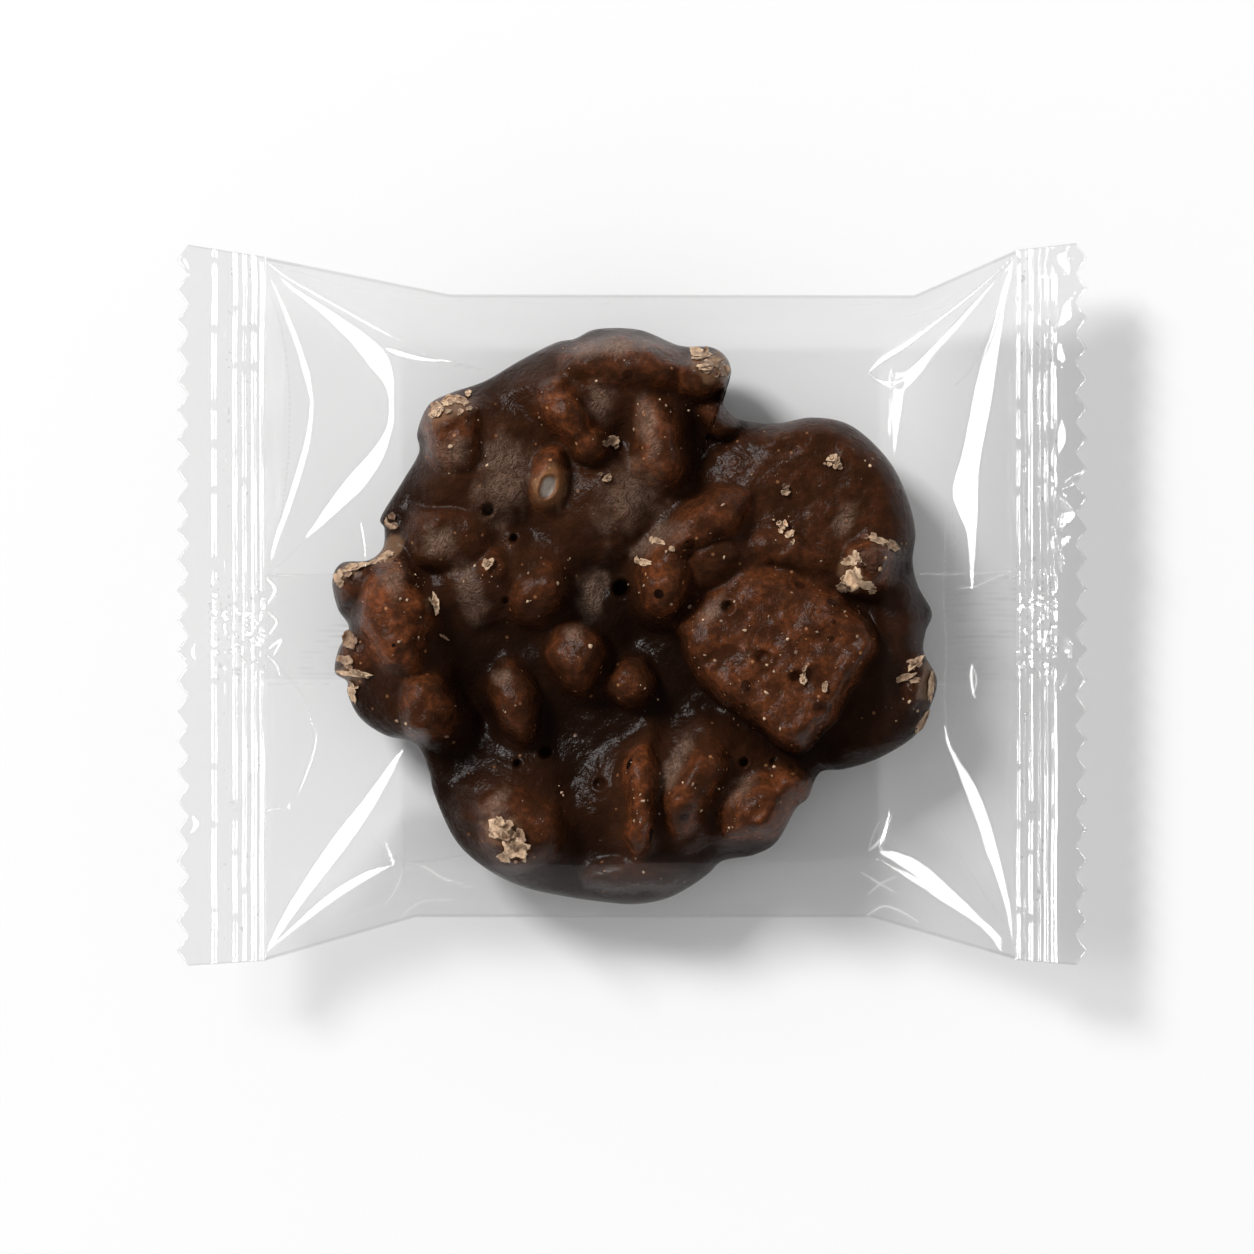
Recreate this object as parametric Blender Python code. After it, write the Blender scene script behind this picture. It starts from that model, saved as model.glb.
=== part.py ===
"""Chocolate pecan praline sealed in a clear pillow packet, as one solid.

The packet is a tube of film: crimped flat at both ends, cut there to a zigzag edge, and closed along the back
by a fin that lies flat. The film stands over the praline like a low tent. Its roof is drawn tight over the
highest nuts, which show in it as soft bumps, and its ends fall in straight slopes to the two flat seals.

X runs along the packet, Y across it and Z up. The origin is under the middle, on the resting face.
Lengths below are in millimetres.
"""

import math

import bmesh
import bpy

MM = 0.001

# Whole packet
PACKET_LENGTH = 105.0
PACKET_WIDTH = 83.4
THICKNESS = 20.0
HALF_LENGTH = PACKET_LENGTH / 2
HALF_WIDTH = PACKET_WIDTH / 2

# Crimped ends: each is two films thick, ribbed along Y, and cut to teeth
SEAL_HEIGHT = 9.2
SEAL_THICKNESS = 0.5
LEFT_SEAL_END = -42.3
RIGHT_SEAL_END = 44.3
LEFT_STRIP_END = -48.3
RIGHT_STRIP_END = 48.9
RIBS_PER_SEAL = 4
RIB_RISE = 0.3
TOOTH_COUNT = 24
TOOTH_DEPTH = 1.3
TOOTH_PITCH = PACKET_WIDTH / TOOTH_COUNT
ROOT_X = HALF_LENGTH - TOOTH_DEPTH

# Back fin: a flat strip from seal to seal, proud of the underside. It starts and ends level with a tooth
FIN_FIRST_TOOTH = 9.5
FIN_LAST_TOOTH = 13.0
FIN_LOW = FIN_FIRST_TOOTH * TOOTH_PITCH - HALF_WIDTH
FIN_HIGH = FIN_LAST_TOOTH * TOOTH_PITCH - HALF_WIDTH
FIN_THICKNESS = 0.35
FIN_WALL = 0.2

# Side edges seen from above: the flat ends are wider than the filled middle
UPPER_EDGE = (
    (-ROOT_X, 41.5),
    (LEFT_SEAL_END, 40.1),
    (-21.0, 35.8),
    (32.6, 35.7),
    (RIGHT_SEAL_END, 40.9),
    (ROOT_X, HALF_WIDTH),
)
LOWER_EDGE = (
    (-ROOT_X, -HALF_WIDTH),
    (LEFT_SEAL_END, -41.1),
    (-25.0, -36.1),
    (27.5, -36.1),
    (RIGHT_SEAL_END, -41.0),
    (ROOT_X, -41.6),
)
SIDE_FOLD_HEIGHT = 8.4

# Nuts that lift the roof: centre X, centre Y, length, width, turn in degrees, lift
NUTS = (
    (-25.0, 20.0, 13.0, 11.0, 60.0, 0.5),
    (-26.0, -1.0, 17.0, 12.0, 95.0, 0.7),
    (-7.2, 21.5, 14.0, 10.0, 120.0, 0.7),
    (4.6, 17.5, 17.0, 10.0, 80.0, 0.8),
    (6.5, 7.5, 18.0, 11.0, 40.0, 0.9),
    (-13.5, 0.0, 15.0, 12.0, 30.0, 0.6),
    (16.5, -4.0, 24.0, 19.0, 140.0, 1.1),
    (27.0, 4.8, 12.0, 11.0, 20.0, 0.8),
    (3.6, -21.0, 16.0, 15.0, 60.0, 0.8),
    (14.5, -22.0, 13.0, 11.0, 30.0, 0.6),
    (-13.0, -24.5, 13.0, 12.0, 130.0, 0.6),
)
DIP_BETWEEN_NUTS = 0.4

# Roof: a flat field, folded at its two ends (X at its lower and upper side) and along both sides
ROOF_HEIGHT = THICKNESS - SEAL_THICKNESS / 2 - max(nut[5] for nut in NUTS)
ROOF_FOLDS = ((-26.2, -21.4), (27.1, 27.5))
ROOF_CREASES = (
    ((LEFT_SEAL_END, -40.1), (-26.2, -29.9), (27.1, -28.4), (RIGHT_SEAL_END, -40.0)),
    ((LEFT_SEAL_END, 39.1), (-21.4, 28.0), (27.5, 26.8), (RIGHT_SEAL_END, 39.9)),
)
FOLD_SOFTNESS = 1.8

# Underside: flat where the praline's weight presses it down
FLOOR_HEIGHT = FIN_THICKNESS + SEAL_THICKNESS / 2
FLOOR_FOLDS = ((-27.0, -27.0), (29.0, 29.0))
FLOOR_CREASES = (
    ((LEFT_SEAL_END, -40.1), (-27.0, -31.0), (29.0, -31.0), (RIGHT_SEAL_END, -40.0)),
    ((LEFT_SEAL_END, 39.1), (-27.0, 30.5), (29.0, 30.5), (RIGHT_SEAL_END, 39.9)),
)

# Mesh: steps along the packet, and the tooth that each crease's row starts from
RIB_STEPS = 2 * RIBS_PER_SEAL
SLOPE_STEPS = 8
ROOF_STEPS = 20
CREASE_TOOTH = 2.5
PALE_FILM = (0.80, 0.81, 0.82, 1.0)


def along(points, place):
    """Value at a place on the straight-line path through points, held level beyond its ends."""
    if place <= points[0][0]:
        return points[0][1]
    for (start, first), (end, last) in zip(points, points[1:]):
        if place <= end:
            return first + (last - first) * (place - start) / (end - start)
    return points[-1][1]


def share(value, start, end):
    """How far value is from start to end, from 0 to 1."""
    return min(max((value - start) / (end - start), 0.0), 1.0)


def soft_min(a, b, softness):
    """The smaller of a and b, with the corner between them rounded over the given height."""
    overlap = max(softness - abs(a - b), 0.0) / softness
    return min(a, b) - overlap * overlap * softness / 4


def soft_max(a, b, softness):
    return -soft_min(-a, -b, softness)


def fold_lines(folds, y):
    """X of the left and right fold at y."""
    across = share(y, -28.0, 28.0)
    return [low + (high - low) * across for low, high in folds]


def opening(x, left, right):
    """0 on the seals and 1 between left and right, where the packet is fully open."""
    return min(share(x, LEFT_SEAL_END, left), share(x, RIGHT_SEAL_END, right))


def side_fold_height(x):
    """Height of the packet's side edge: level with the seals at the ends and lower in the middle."""
    return SEAL_HEIGHT + (SIDE_FOLD_HEIGHT - SEAL_HEIGHT) * opening(x, -24.0, 27.0)


def slope_to_edge(y, crease_y, crease_z, edge_y, edge_z):
    """Height at y of the straight slope that runs from a crease down, or up, to the side edge."""
    return crease_z + (edge_z - crease_z) * (y - crease_y) / (edge_y - crease_y)


def nut_lift(x, y):
    """How far the nuts push the roof up: oval bumps that fade with distance, the highest one winning softly."""
    total = 0.0
    for centre_x, centre_y, length, width, turn, height in NUTS:
        angle = math.radians(turn)
        forward = (x - centre_x) * math.cos(angle) + (y - centre_y) * math.sin(angle)
        sideways = (y - centre_y) * math.cos(angle) - (x - centre_x) * math.sin(angle)
        reach = (2 * forward / length) ** 2 + (2 * sideways / width) ** 2
        total += ((height + DIP_BETWEEN_NUTS) * math.exp(-0.7 * reach)) ** 4
    return total ** 0.25 - DIP_BETWEEN_NUTS


def roof_height(x, y):
    """Top film: the flat roof, its end slopes and its side slopes, and the nuts' bumps under it."""
    left, right = fold_lines(ROOF_FOLDS, y)
    rise = ROOF_HEIGHT - SEAL_HEIGHT
    left_slope = SEAL_HEIGHT + rise * (x - LEFT_SEAL_END) / (left - LEFT_SEAL_END)
    right_slope = SEAL_HEIGHT + rise * (x - RIGHT_SEAL_END) / (right - RIGHT_SEAL_END)
    opened = opening(x, left, right)
    softness = 0.1 + FOLD_SOFTNESS * opened
    height = soft_min(soft_min(left_slope, right_slope, softness), ROOF_HEIGHT, softness)
    crest = SEAL_HEIGHT + rise * opened
    for crease, edge in zip(ROOF_CREASES, (LOWER_EDGE, UPPER_EDGE)):
        side = slope_to_edge(y, along(crease, x), crest, along(edge, x), side_fold_height(x))
        height = soft_min(height, side, softness)
    clear_of_edges = share(min(along(UPPER_EDGE, x) - y, y - along(LOWER_EDGE, x)), 2.0, 12.0)
    return height + nut_lift(x, y) * clear_of_edges * opened


def floor_height(x, y):
    """Underside: level where the packet stands, then up in straight slopes to the seals and side edges."""
    opened = opening(x, *fold_lines(FLOOR_FOLDS, y))
    level = SEAL_HEIGHT + (FLOOR_HEIGHT - SEAL_HEIGHT) * opened
    softness = 0.1 + FOLD_SOFTNESS * opened
    height = level
    for crease, edge in zip(FLOOR_CREASES, (LOWER_EDGE, UPPER_EDGE)):
        side = slope_to_edge(y, along(crease, x), level, along(edge, x), side_fold_height(x))
        height = soft_max(height, side, softness)
    return height


def rib_height(x):
    """The crimping jaws' ribs: a triangle wave across each seal."""
    if x < LEFT_SEAL_END:
        place = share(x, LEFT_STRIP_END, LEFT_SEAL_END)
    else:
        place = share(x, RIGHT_STRIP_END, RIGHT_SEAL_END)
    phase = (place * RIBS_PER_SEAL) % 1.0
    return RIB_RISE * (1 - abs(2 * phase - 1))


def column_numbers():
    """Number of every column of the mesh, from cut edge to cut edge."""
    return range(2 * (1 + RIB_STEPS + SLOPE_STEPS) + ROOF_STEPS + 1)


def column_place(column, folds, y):
    """X of a column: it is straight on the seals and follows the slanting folds of the roof between them."""
    left_fold, right_fold = fold_lines(folds, y)
    seal = 1 + RIB_STEPS
    fold = seal + SLOPE_STEPS
    last = 2 * fold + ROOF_STEPS
    marks = (
        (0, -HALF_LENGTH),
        (1, LEFT_STRIP_END),
        (seal, LEFT_SEAL_END),
        (fold, left_fold),
        (fold + ROOF_STEPS, right_fold),
        (last - seal, RIGHT_SEAL_END),
        (last - 1, RIGHT_STRIP_END),
        (last, HALF_LENGTH),
    )
    return along(marks, column)


def row_teeth():
    """Every row of the mesh as a tooth number: each tooth's two roots and tip, and the foot of each fin wall."""
    teeth = [half / 2 for half in range(2 * TOOTH_COUNT + 1)]
    wall = FIN_WALL / TOOTH_PITCH
    return sorted(teeth + [FIN_FIRST_TOOTH - wall, FIN_LAST_TOOTH + wall])


def row_place(tooth, x, creases):
    """Y of a row at x: evenly spaced at the cut edges, and gathered along the creases between the seals."""
    gathered = share(x, LEFT_STRIP_END, LEFT_SEAL_END) * share(x, RIGHT_STRIP_END, RIGHT_SEAL_END)
    lower, upper = (along(crease, x) for crease in creases)
    even = CREASE_TOOTH * TOOTH_PITCH - HALF_WIDTH
    marks = (
        (0.0, along(LOWER_EDGE, x)),
        (CREASE_TOOTH, even + (lower - even) * gathered),
        (FIN_FIRST_TOOTH, FIN_LOW),
        (FIN_LAST_TOOTH, FIN_HIGH),
        (TOOTH_COUNT - CREASE_TOOTH, -even + (upper + even) * gathered),
        (TOOTH_COUNT, along(UPPER_EDGE, x)),
    )
    return along(marks, tooth)


def cut_edge(tooth):
    """Distance of the zigzag cut from the middle: roots lie one tooth depth in from the tips."""
    return HALF_LENGTH - (HALF_LENGTH - ROOT_X) * abs(2 * (tooth % 1.0) - 1)


def film_height(x, y, face):
    """Height of the top face (0) or under face (1) away from the fin."""
    on_seal = x <= LEFT_SEAL_END or x >= RIGHT_SEAL_END
    if on_seal:
        middle = SEAL_HEIGHT + rib_height(x)
    else:
        middle = floor_height(x, y) if face else roof_height(x, y)
    return middle - SEAL_THICKNESS / 2 if face else middle + SEAL_THICKNESS / 2


def add_sheet(mesh, face, folds, creases):
    """One face of the packet as a grid of vertices, column by column."""
    columns = column_numbers()
    grid = []
    for column in columns:
        line = []
        for tooth in row_teeth():
            y = row_place(tooth, column_place(column, folds, 0.0), creases)
            x = column_place(column, folds, y)
            if column == columns[0]:
                x = -cut_edge(tooth)
            elif column == columns[-1]:
                x = cut_edge(tooth)
            y = row_place(tooth, x, creases)
            z = film_height(x, y, face)
            if face and FIN_FIRST_TOOTH <= tooth <= FIN_LAST_TOOTH:
                z -= FIN_THICKNESS
            line.append(mesh.verts.new((x * MM, y * MM, z * MM)))
        grid.append(line)
    for line, following in zip(grid, grid[1:]):
        for n in range(len(line) - 1):
            mesh.faces.new((line[n], following[n], following[n + 1], line[n + 1]))
    return grid


def rim_of(grid):
    """The vertices round the edge of a grid, in order: both cut ends and both side folds."""
    near = [line[0] for line in grid[1:-1]]
    far = [line[-1] for line in grid[1:-1]]
    return grid[0][::-1] + near + grid[-1] + far[::-1]


def build_packet():
    """The two faces, joined by a narrow wall along the cut ends and the side folds."""
    mesh = bmesh.new()
    upper_rim = rim_of(add_sheet(mesh, 0, ROOF_FOLDS, ROOF_CREASES))
    lower_rim = rim_of(add_sheet(mesh, 1, FLOOR_FOLDS, FLOOR_CREASES))
    for n in range(len(upper_rim)):
        mesh.faces.new((upper_rim[n - 1], upper_rim[n], lower_rim[n], lower_rim[n - 1]))
    bmesh.ops.recalc_face_normals(mesh, faces=mesh.faces)
    data = bpy.data.meshes.new("packet")
    mesh.to_mesh(data)
    mesh.free()
    packet = bpy.data.objects.new("packet", data)
    bpy.context.scene.collection.objects.link(packet)
    return packet


def film_material():
    material = bpy.data.materials.new("clear_film")
    material.use_nodes = True
    surface = material.node_tree.nodes["Principled BSDF"]
    surface.inputs["Base Color"].default_value = PALE_FILM
    surface.inputs["Roughness"].default_value = 0.12
    surface.inputs["Metallic"].default_value = 0.0
    surface.inputs["Alpha"].default_value = 0.35
    return material


def main():
    for old in list(bpy.data.objects):
        bpy.data.objects.remove(old)
    packet = build_packet()
    packet.data.materials.append(film_material())
    packet.data.shade_smooth()
    packet.data.set_sharp_from_angle(angle=math.radians(32))


main()
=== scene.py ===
import math

import bpy
import numpy as np
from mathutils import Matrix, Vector


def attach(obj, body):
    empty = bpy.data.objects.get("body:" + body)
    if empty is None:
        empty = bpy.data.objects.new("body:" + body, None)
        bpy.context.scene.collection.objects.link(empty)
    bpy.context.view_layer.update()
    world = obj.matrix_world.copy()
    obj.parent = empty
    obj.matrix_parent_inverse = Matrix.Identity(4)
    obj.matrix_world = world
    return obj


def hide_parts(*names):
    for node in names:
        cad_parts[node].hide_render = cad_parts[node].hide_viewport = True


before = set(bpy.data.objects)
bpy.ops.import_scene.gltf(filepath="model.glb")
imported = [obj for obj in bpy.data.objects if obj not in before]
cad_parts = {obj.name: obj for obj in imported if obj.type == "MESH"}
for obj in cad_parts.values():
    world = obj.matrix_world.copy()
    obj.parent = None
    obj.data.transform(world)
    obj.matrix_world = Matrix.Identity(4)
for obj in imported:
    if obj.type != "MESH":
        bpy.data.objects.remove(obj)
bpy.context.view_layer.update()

# All sizes below are in millimetres, and makePiece turns them into metres
mm = 0.001
print("frame loaded: nodes", sorted(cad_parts))


# shared helpers

def smoothNoise(x, y, size, seed):
    # random heights from -1 to 1 on a square lattice of the given cell size, joined by smooth steps; the
    # lattice repeats after so many cells, and 500 keeps its numbers above 0
    cells = 97
    table = np.random.default_rng(seed).uniform(-1, 1, (cells, cells))
    u, v = np.asarray(x) / size + 500.0, np.asarray(y) / size + 500.0
    column, row = np.floor(u).astype(int), np.floor(v).astype(int)
    du, dv = u - column, v - row
    du, dv = du * du * (3 - 2 * du), dv * dv * (3 - 2 * dv)
    left, right, low, high = column % cells, (column + 1) % cells, row % cells, (row + 1) % cells
    near = table[left, low] * (1 - du) + table[right, low] * du
    far = table[left, high] * (1 - du) + table[right, high] * du
    return near * (1 - dv) + far * dv


def share(value, start, end):
    # how far value is from start to end, from 0 to 1
    return np.clip((value - start) / (end - start), 0, 1)


def smoothShare(value, start, end):
    # the same with a slow start and end, 3 part^2 - 2 part^3
    part = share(value, start, end)
    return part * part * (3 - 2 * part)


def softMin(a, b, softness):
    # the smaller of a and b, with the corner between them rounded over the given height
    overlap = np.maximum(softness - np.abs(a - b), 0) / softness
    return np.minimum(a, b) - overlap * overlap * softness / 4


def softMax(a, b, softness):
    return -softMin(-a, -b, softness)


def ovalReach(x, y, centreX, centreY, length, width, turn):
    # 0 at the middle of a turned oval and 1 on its edge
    angle = math.radians(turn)
    forward = (x - centreX) * math.cos(angle) + (y - centreY) * math.sin(angle)
    sideways = (y - centreY) * math.cos(angle) - (x - centreX) * math.sin(angle)
    return np.hypot(2 * forward / length, 2 * sideways / width)


def cubicBetween(before, here, after, beyond, t):
    # the part t of the way from here to after, on a cubic whose slopes come from the points on either side
    return 0.5 * (2 * here + (after - before) * t + (2 * before - 5 * here + 4 * after - beyond) * t ** 2
                  + (3 * here - before - 3 * after + beyond) * t ** 3)


def pointRows(x, y, z):
    return np.stack([x.ravel(), y.ravel(), z.ravel()], axis=1)


def gridQuads(rows, columns):
    # four-cornered faces of a grid of points, facing up when columns run along +X and rows along +Y
    first = (np.arange(rows - 1)[:, None] * columns + np.arange(columns - 1)[None, :]).ravel()
    return np.stack([first, first + 1, first + 1 + columns, first + columns], axis=1)


def gridRim(rows, columns):
    # numbers of the points round the border of the grid, each once
    number = np.arange(rows * columns).reshape(rows, columns)
    return np.concatenate([number[0, :-1], number[:-1, -1], number[-1, :0:-1], number[:0:-1, 0]])


def wallFaces(upper, lower):
    # four-cornered faces between two closed rows of points
    return np.stack([upper, lower, np.roll(lower, -1), np.roll(upper, -1)], axis=1)


def sheetFaces(rows, columns):
    # a closed sheet: a grid, the same grid again below it, and a wall round their borders
    quads, rim, count = gridQuads(rows, columns), gridRim(rows, columns), rows * columns
    return [quads, quads[:, ::-1] + count, wallFaces(rim, rim + count)]


def makePiece(name, points, faceLists, material, shadeSmooth=True):
    # puts whole arrays of points (in millimetres) and faces into one mesh object
    mesh = bpy.data.meshes.new(name)
    mesh.vertices.add(len(points))
    mesh.vertices.foreach_set("co", (np.asarray(points, dtype=np.float64) * mm).astype(np.float32).ravel())
    corners = np.concatenate([faces.ravel() for faces in faceLists]).astype(np.int32)
    sizes = np.concatenate([np.full(len(faces), faces.shape[1]) for faces in faceLists]).astype(np.int32)
    mesh.loops.add(len(corners))
    mesh.loops.foreach_set("vertex_index", corners)
    mesh.polygons.add(len(sizes))
    mesh.polygons.foreach_set("loop_start", np.concatenate([[0], np.cumsum(sizes)[:-1]]).astype(np.int32))
    mesh.polygons.foreach_set("loop_total", sizes)
    mesh.update(calc_edges=True)
    mesh.validate()
    mesh.materials.append(material)
    if shadeSmooth:
        mesh.shade_smooth()
    piece = bpy.data.objects.new(name, mesh)
    bpy.context.scene.collection.objects.link(piece)
    print("made", name, "with", len(mesh.polygons), "faces")
    return piece


def paint(piece, name, values):
    # one number for each point, which the piece's material reads
    attribute = piece.data.attributes.new(name, "FLOAT", "POINT")
    attribute.data.foreach_set("value", np.asarray(values, dtype=np.float32).ravel())


# node helpers

def newMaterial(name):
    material = bpy.data.materials.new(name)
    material.use_nodes = True
    return material, material.node_tree, material.node_tree.nodes["Principled BSDF"]


def addNode(tree, kind, links=None, **settings):
    # makes a node; links fill its sockets from a value or from another node's output
    node = tree.nodes.new(kind)
    for key, value in settings.items():
        setattr(node, key, value)
    for key, value in (links or {}).items():
        socket = node.inputs[key]
        if isinstance(value, bpy.types.NodeSocket):
            tree.links.new(value, socket)
        else:
            socket.default_value = value
    return node


def mixColour(tree, factor, first, second):
    node = addNode(tree, "ShaderNodeMix", data_type="RGBA")
    for index, value in ((0, factor), (6, first), (7, second)):
        if isinstance(value, bpy.types.NodeSocket):
            tree.links.new(value, node.inputs[index])
        else:
            node.inputs[index].default_value = (*value, 1.0) if index else value
    return node.outputs[2]


def calculate(tree, operation, first, second=0.0, third=0.0, clamp=False):
    return addNode(tree, "ShaderNodeMath", {0: first, 1: second, 2: third}, operation=operation,
                   use_clamp=clamp).outputs[0]


def painted(tree, name):
    # the numbers that paint has put on the piece
    return addNode(tree, "ShaderNodeAttribute", attribute_name=name).outputs["Fac"]


def noise(tree, place, scale, detail, roughness, distortion=0.0):
    return addNode(tree, "ShaderNodeTexNoise", {
        "Vector": place, "Scale": scale, "Detail": detail, "Roughness": roughness,
        "Distortion": distortion}).outputs["Fac"]


def grainAndSpecks(tree, grainScale, speckScale, speckSize):
    group = addNode(tree, "ShaderNodeGroup", {
        "Grain Scale": grainScale, "Speck Scale": speckScale, "Speck Size": speckSize}, node_tree=fineGrain)
    return group.outputs["Height"], group.outputs["Specks"]


def ramp(tree, value, low, high):
    # 0 at low, 1 at high
    return addNode(tree, "ShaderNodeMapRange", {"Value": value, "From Min": low, "From Max": high}).outputs[0]


def buildGrainGroup():
    # fine grain and scattered specks, which the coat uses at two sizes: a height, and a mask of the specks
    group = bpy.data.node_groups.new("fineGrain", "ShaderNodeTree")
    for name, way in (("Grain Scale", "INPUT"), ("Speck Scale", "INPUT"), ("Speck Size", "INPUT"),
                      ("Height", "OUTPUT"), ("Specks", "OUTPUT")):
        group.interface.new_socket(name, in_out=way, socket_type="NodeSocketFloat")
    inside, outside = group.nodes.new("NodeGroupInput"), group.nodes.new("NodeGroupOutput")
    place = addNode(group, "ShaderNodeTexCoord").outputs["Object"]
    grain = noise(group, place, inside.outputs["Grain Scale"], 4.0, 0.6)
    cells = addNode(group, "ShaderNodeTexVoronoi", {
        "Vector": place, "Scale": inside.outputs["Speck Scale"], "Randomness": 1.0})
    split = addNode(group, "ShaderNodeSeparateColor", {"Color": cells.outputs["Color"]})
    close = calculate(group, "LESS_THAN", cells.outputs["Distance"], inside.outputs["Speck Size"])
    # only a bit more than a quarter of the cells get a speck
    chosen = calculate(group, "GREATER_THAN", split.outputs["Red"], 0.72)
    group.links.new(grain, outside.inputs["Height"])
    group.links.new(calculate(group, "MULTIPLY", close, chosen), outside.inputs["Specks"])
    return group


fineGrain = buildGrainGroup()


# the packet's form, the same as the solid that it replaces

packet = {
    "halfLength": 52.5,
    "sealHeight": 9.2,
    "leftSealEnd": -42.3,
    "rightSealEnd": 44.3,
    "toothCount": 24,
    "toothDepth": 1.3,
    # long edges seen from above: X, Y
    "upperEdge": ((-51.2, 41.5), (-42.3, 40.1), (-21.0, 35.8), (32.6, 35.7), (44.3, 40.9), (51.2, 41.7)),
    "lowerEdge": (
        (-51.2, -41.7), (-42.3, -41.1), (-25.0, -36.1), (27.5, -36.1), (44.3, -41.0), (51.2, -41.6),
    ),
    "sideFoldHeight": 8.4,
    "sideFoldEnds": (-24.0, 27.0),
    "roofHeight": 18.65,
    # X where the roof starts to fall to each seal, on the lower and on the upper side, and the Y of both
    "leftFold": (-26.2, -21.4),
    "rightFold": (27.1, 27.5),
    "foldEnds": (-28.0, 28.0),
    # X, Y where the roof starts to fall to the long edges
    "lowerCrease": ((-42.3, -40.1), (-26.2, -29.9), (27.1, -28.4), (44.3, -40.0)),
    "upperCrease": ((-42.3, 39.1), (-21.4, 28.0), (27.5, 26.8), (44.3, 39.9)),
    "foldSoftness": 1.2,
    "sideSoftness": 2.0,
    "sideSoftReach": 9.0,
    "floorHeight": 0.4,
    "floorFolds": (-27.0, 29.0),
    "lowerFloorCrease": ((-42.3, -40.1), (-27.0, -31.0), (29.0, -31.0), (44.3, -40.0)),
    "upperFloorCrease": ((-42.3, 39.1), (-27.0, 30.5), (29.0, 30.5), (44.3, 39.9)),
    "finLow": -8.69,
    "finHigh": 3.47,
    "dipBetweenNuts": 0.4,
    "nutFade": 0.7,
    "nutInset": (2.0, 12.0),
    # nuts that lift the roof: centre X, centre Y, length, width, turn, lift
    "nuts": (
        (-25.0, 20.0, 13.0, 11.0, 60.0, 0.5),
        (-26.0, -1.0, 17.0, 12.0, 95.0, 0.7),
        (-7.2, 21.5, 14.0, 10.0, 120.0, 0.7),
        (4.6, 17.5, 17.0, 10.0, 80.0, 0.8),
        (6.5, 7.5, 18.0, 11.0, 40.0, 0.9),
        (-13.5, 0.0, 15.0, 12.0, 30.0, 0.6),
        (16.5, -4.0, 24.0, 19.0, 140.0, 1.1),
        (26.0, 4.8, 12.0, 11.0, 20.0, 0.3),
        (3.6, -21.0, 16.0, 15.0, 60.0, 0.8),
        (14.5, -22.0, 13.0, 11.0, 30.0, 0.6),
        (-13.0, -24.5, 13.0, 12.0, 130.0, 0.6),
    ),
}


def along(points, place):
    # value on the straight-line path through points
    stops = np.array(points)
    return np.interp(place, stops[:, 0], stops[:, 1])


def inFromEdges(x, y):
    # distance from the nearer long edge
    return np.minimum(along(packet["upperEdge"], x) - y, y - along(packet["lowerEdge"], x))


def foldLines(y):
    # X of the two lines where the roof starts to fall to the seals
    across = share(y, *packet["foldEnds"])
    return [low + (high - low) * across for low, high in (packet["leftFold"], packet["rightFold"])]


def opening(x, left, right):
    # 0 on the seals and 1 between left and right
    return np.minimum(share(x, packet["leftSealEnd"], left), share(x, packet["rightSealEnd"], right))


def sideFoldHeight(x):
    # height of the long edges, which hang a little lower between the seals
    drop = packet["sideFoldHeight"] - packet["sealHeight"]
    return packet["sealHeight"] + drop * opening(x, *packet["sideFoldEnds"])


def slopeToEdge(y, creaseY, creaseZ, edgeY, edgeZ):
    # straight line from the crease to the edge
    return creaseZ + (edgeZ - creaseZ) * (y - creaseY) / (edgeY - creaseY)


def nutLift(x, y):
    # oval bumps that fade with distance, the highest one winning softly
    total = 0.0
    for centreX, centreY, length, width, turn, height in packet["nuts"]:
        reach = ovalReach(x, y, centreX, centreY, length, width, turn)
        total = total + ((height + packet["dipBetweenNuts"]) * np.exp(-packet["nutFade"] * reach ** 2)) ** 4
    return total ** 0.25 - packet["dipBetweenNuts"]


def roofHeight(x, y):
    # top film: flat roof, straight slopes to both seals and both long edges, rounded where they meet, and the
    # bumps over the nuts
    left, right = foldLines(y)
    low, rise = packet["sealHeight"], packet["roofHeight"] - packet["sealHeight"]
    leftSlope = low + rise * (x - packet["leftSealEnd"]) / (left - packet["leftSealEnd"])
    rightSlope = low + rise * (x - packet["rightSealEnd"]) / (right - packet["rightSealEnd"])
    opened = opening(x, left, right)
    softness = 0.1 + packet["foldSoftness"] * opened
    height = softMin(softMin(leftSlope, rightSlope, softness), packet["roofHeight"], softness)
    crest = low + rise * opened
    inside = np.minimum(x - left, right - x)
    softer = softness + packet["sideSoftness"] * smoothShare(inside, 0.0, packet["sideSoftReach"])
    for crease, edge in (("lowerCrease", "lowerEdge"), ("upperCrease", "upperEdge")):
        edgeY = along(packet[edge], x)
        side = slopeToEdge(y, along(packet[crease], x), crest, edgeY, sideFoldHeight(x))
        height = softMin(height, side, softer)
    return height + nutLift(x, y) * share(inFromEdges(x, y), *packet["nutInset"]) * opened ** 2


def floorHeight(x, y):
    # back film: level under the praline, then straight slopes up to the seals and long edges
    opened = opening(x, *packet["floorFolds"])
    level = packet["sealHeight"] + (packet["floorHeight"] - packet["sealHeight"]) * opened
    softness = 0.1 + (packet["foldSoftness"] + packet["sideSoftness"]) * opened
    height = level
    for crease, edge in (("lowerFloorCrease", "lowerEdge"), ("upperFloorCrease", "upperEdge")):
        edgeY = along(packet[edge], x)
        side = slopeToEdge(y, along(packet[crease], x), level, edgeY, sideFoldHeight(x))
        height = softMax(height, side, softness)
    return height


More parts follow.
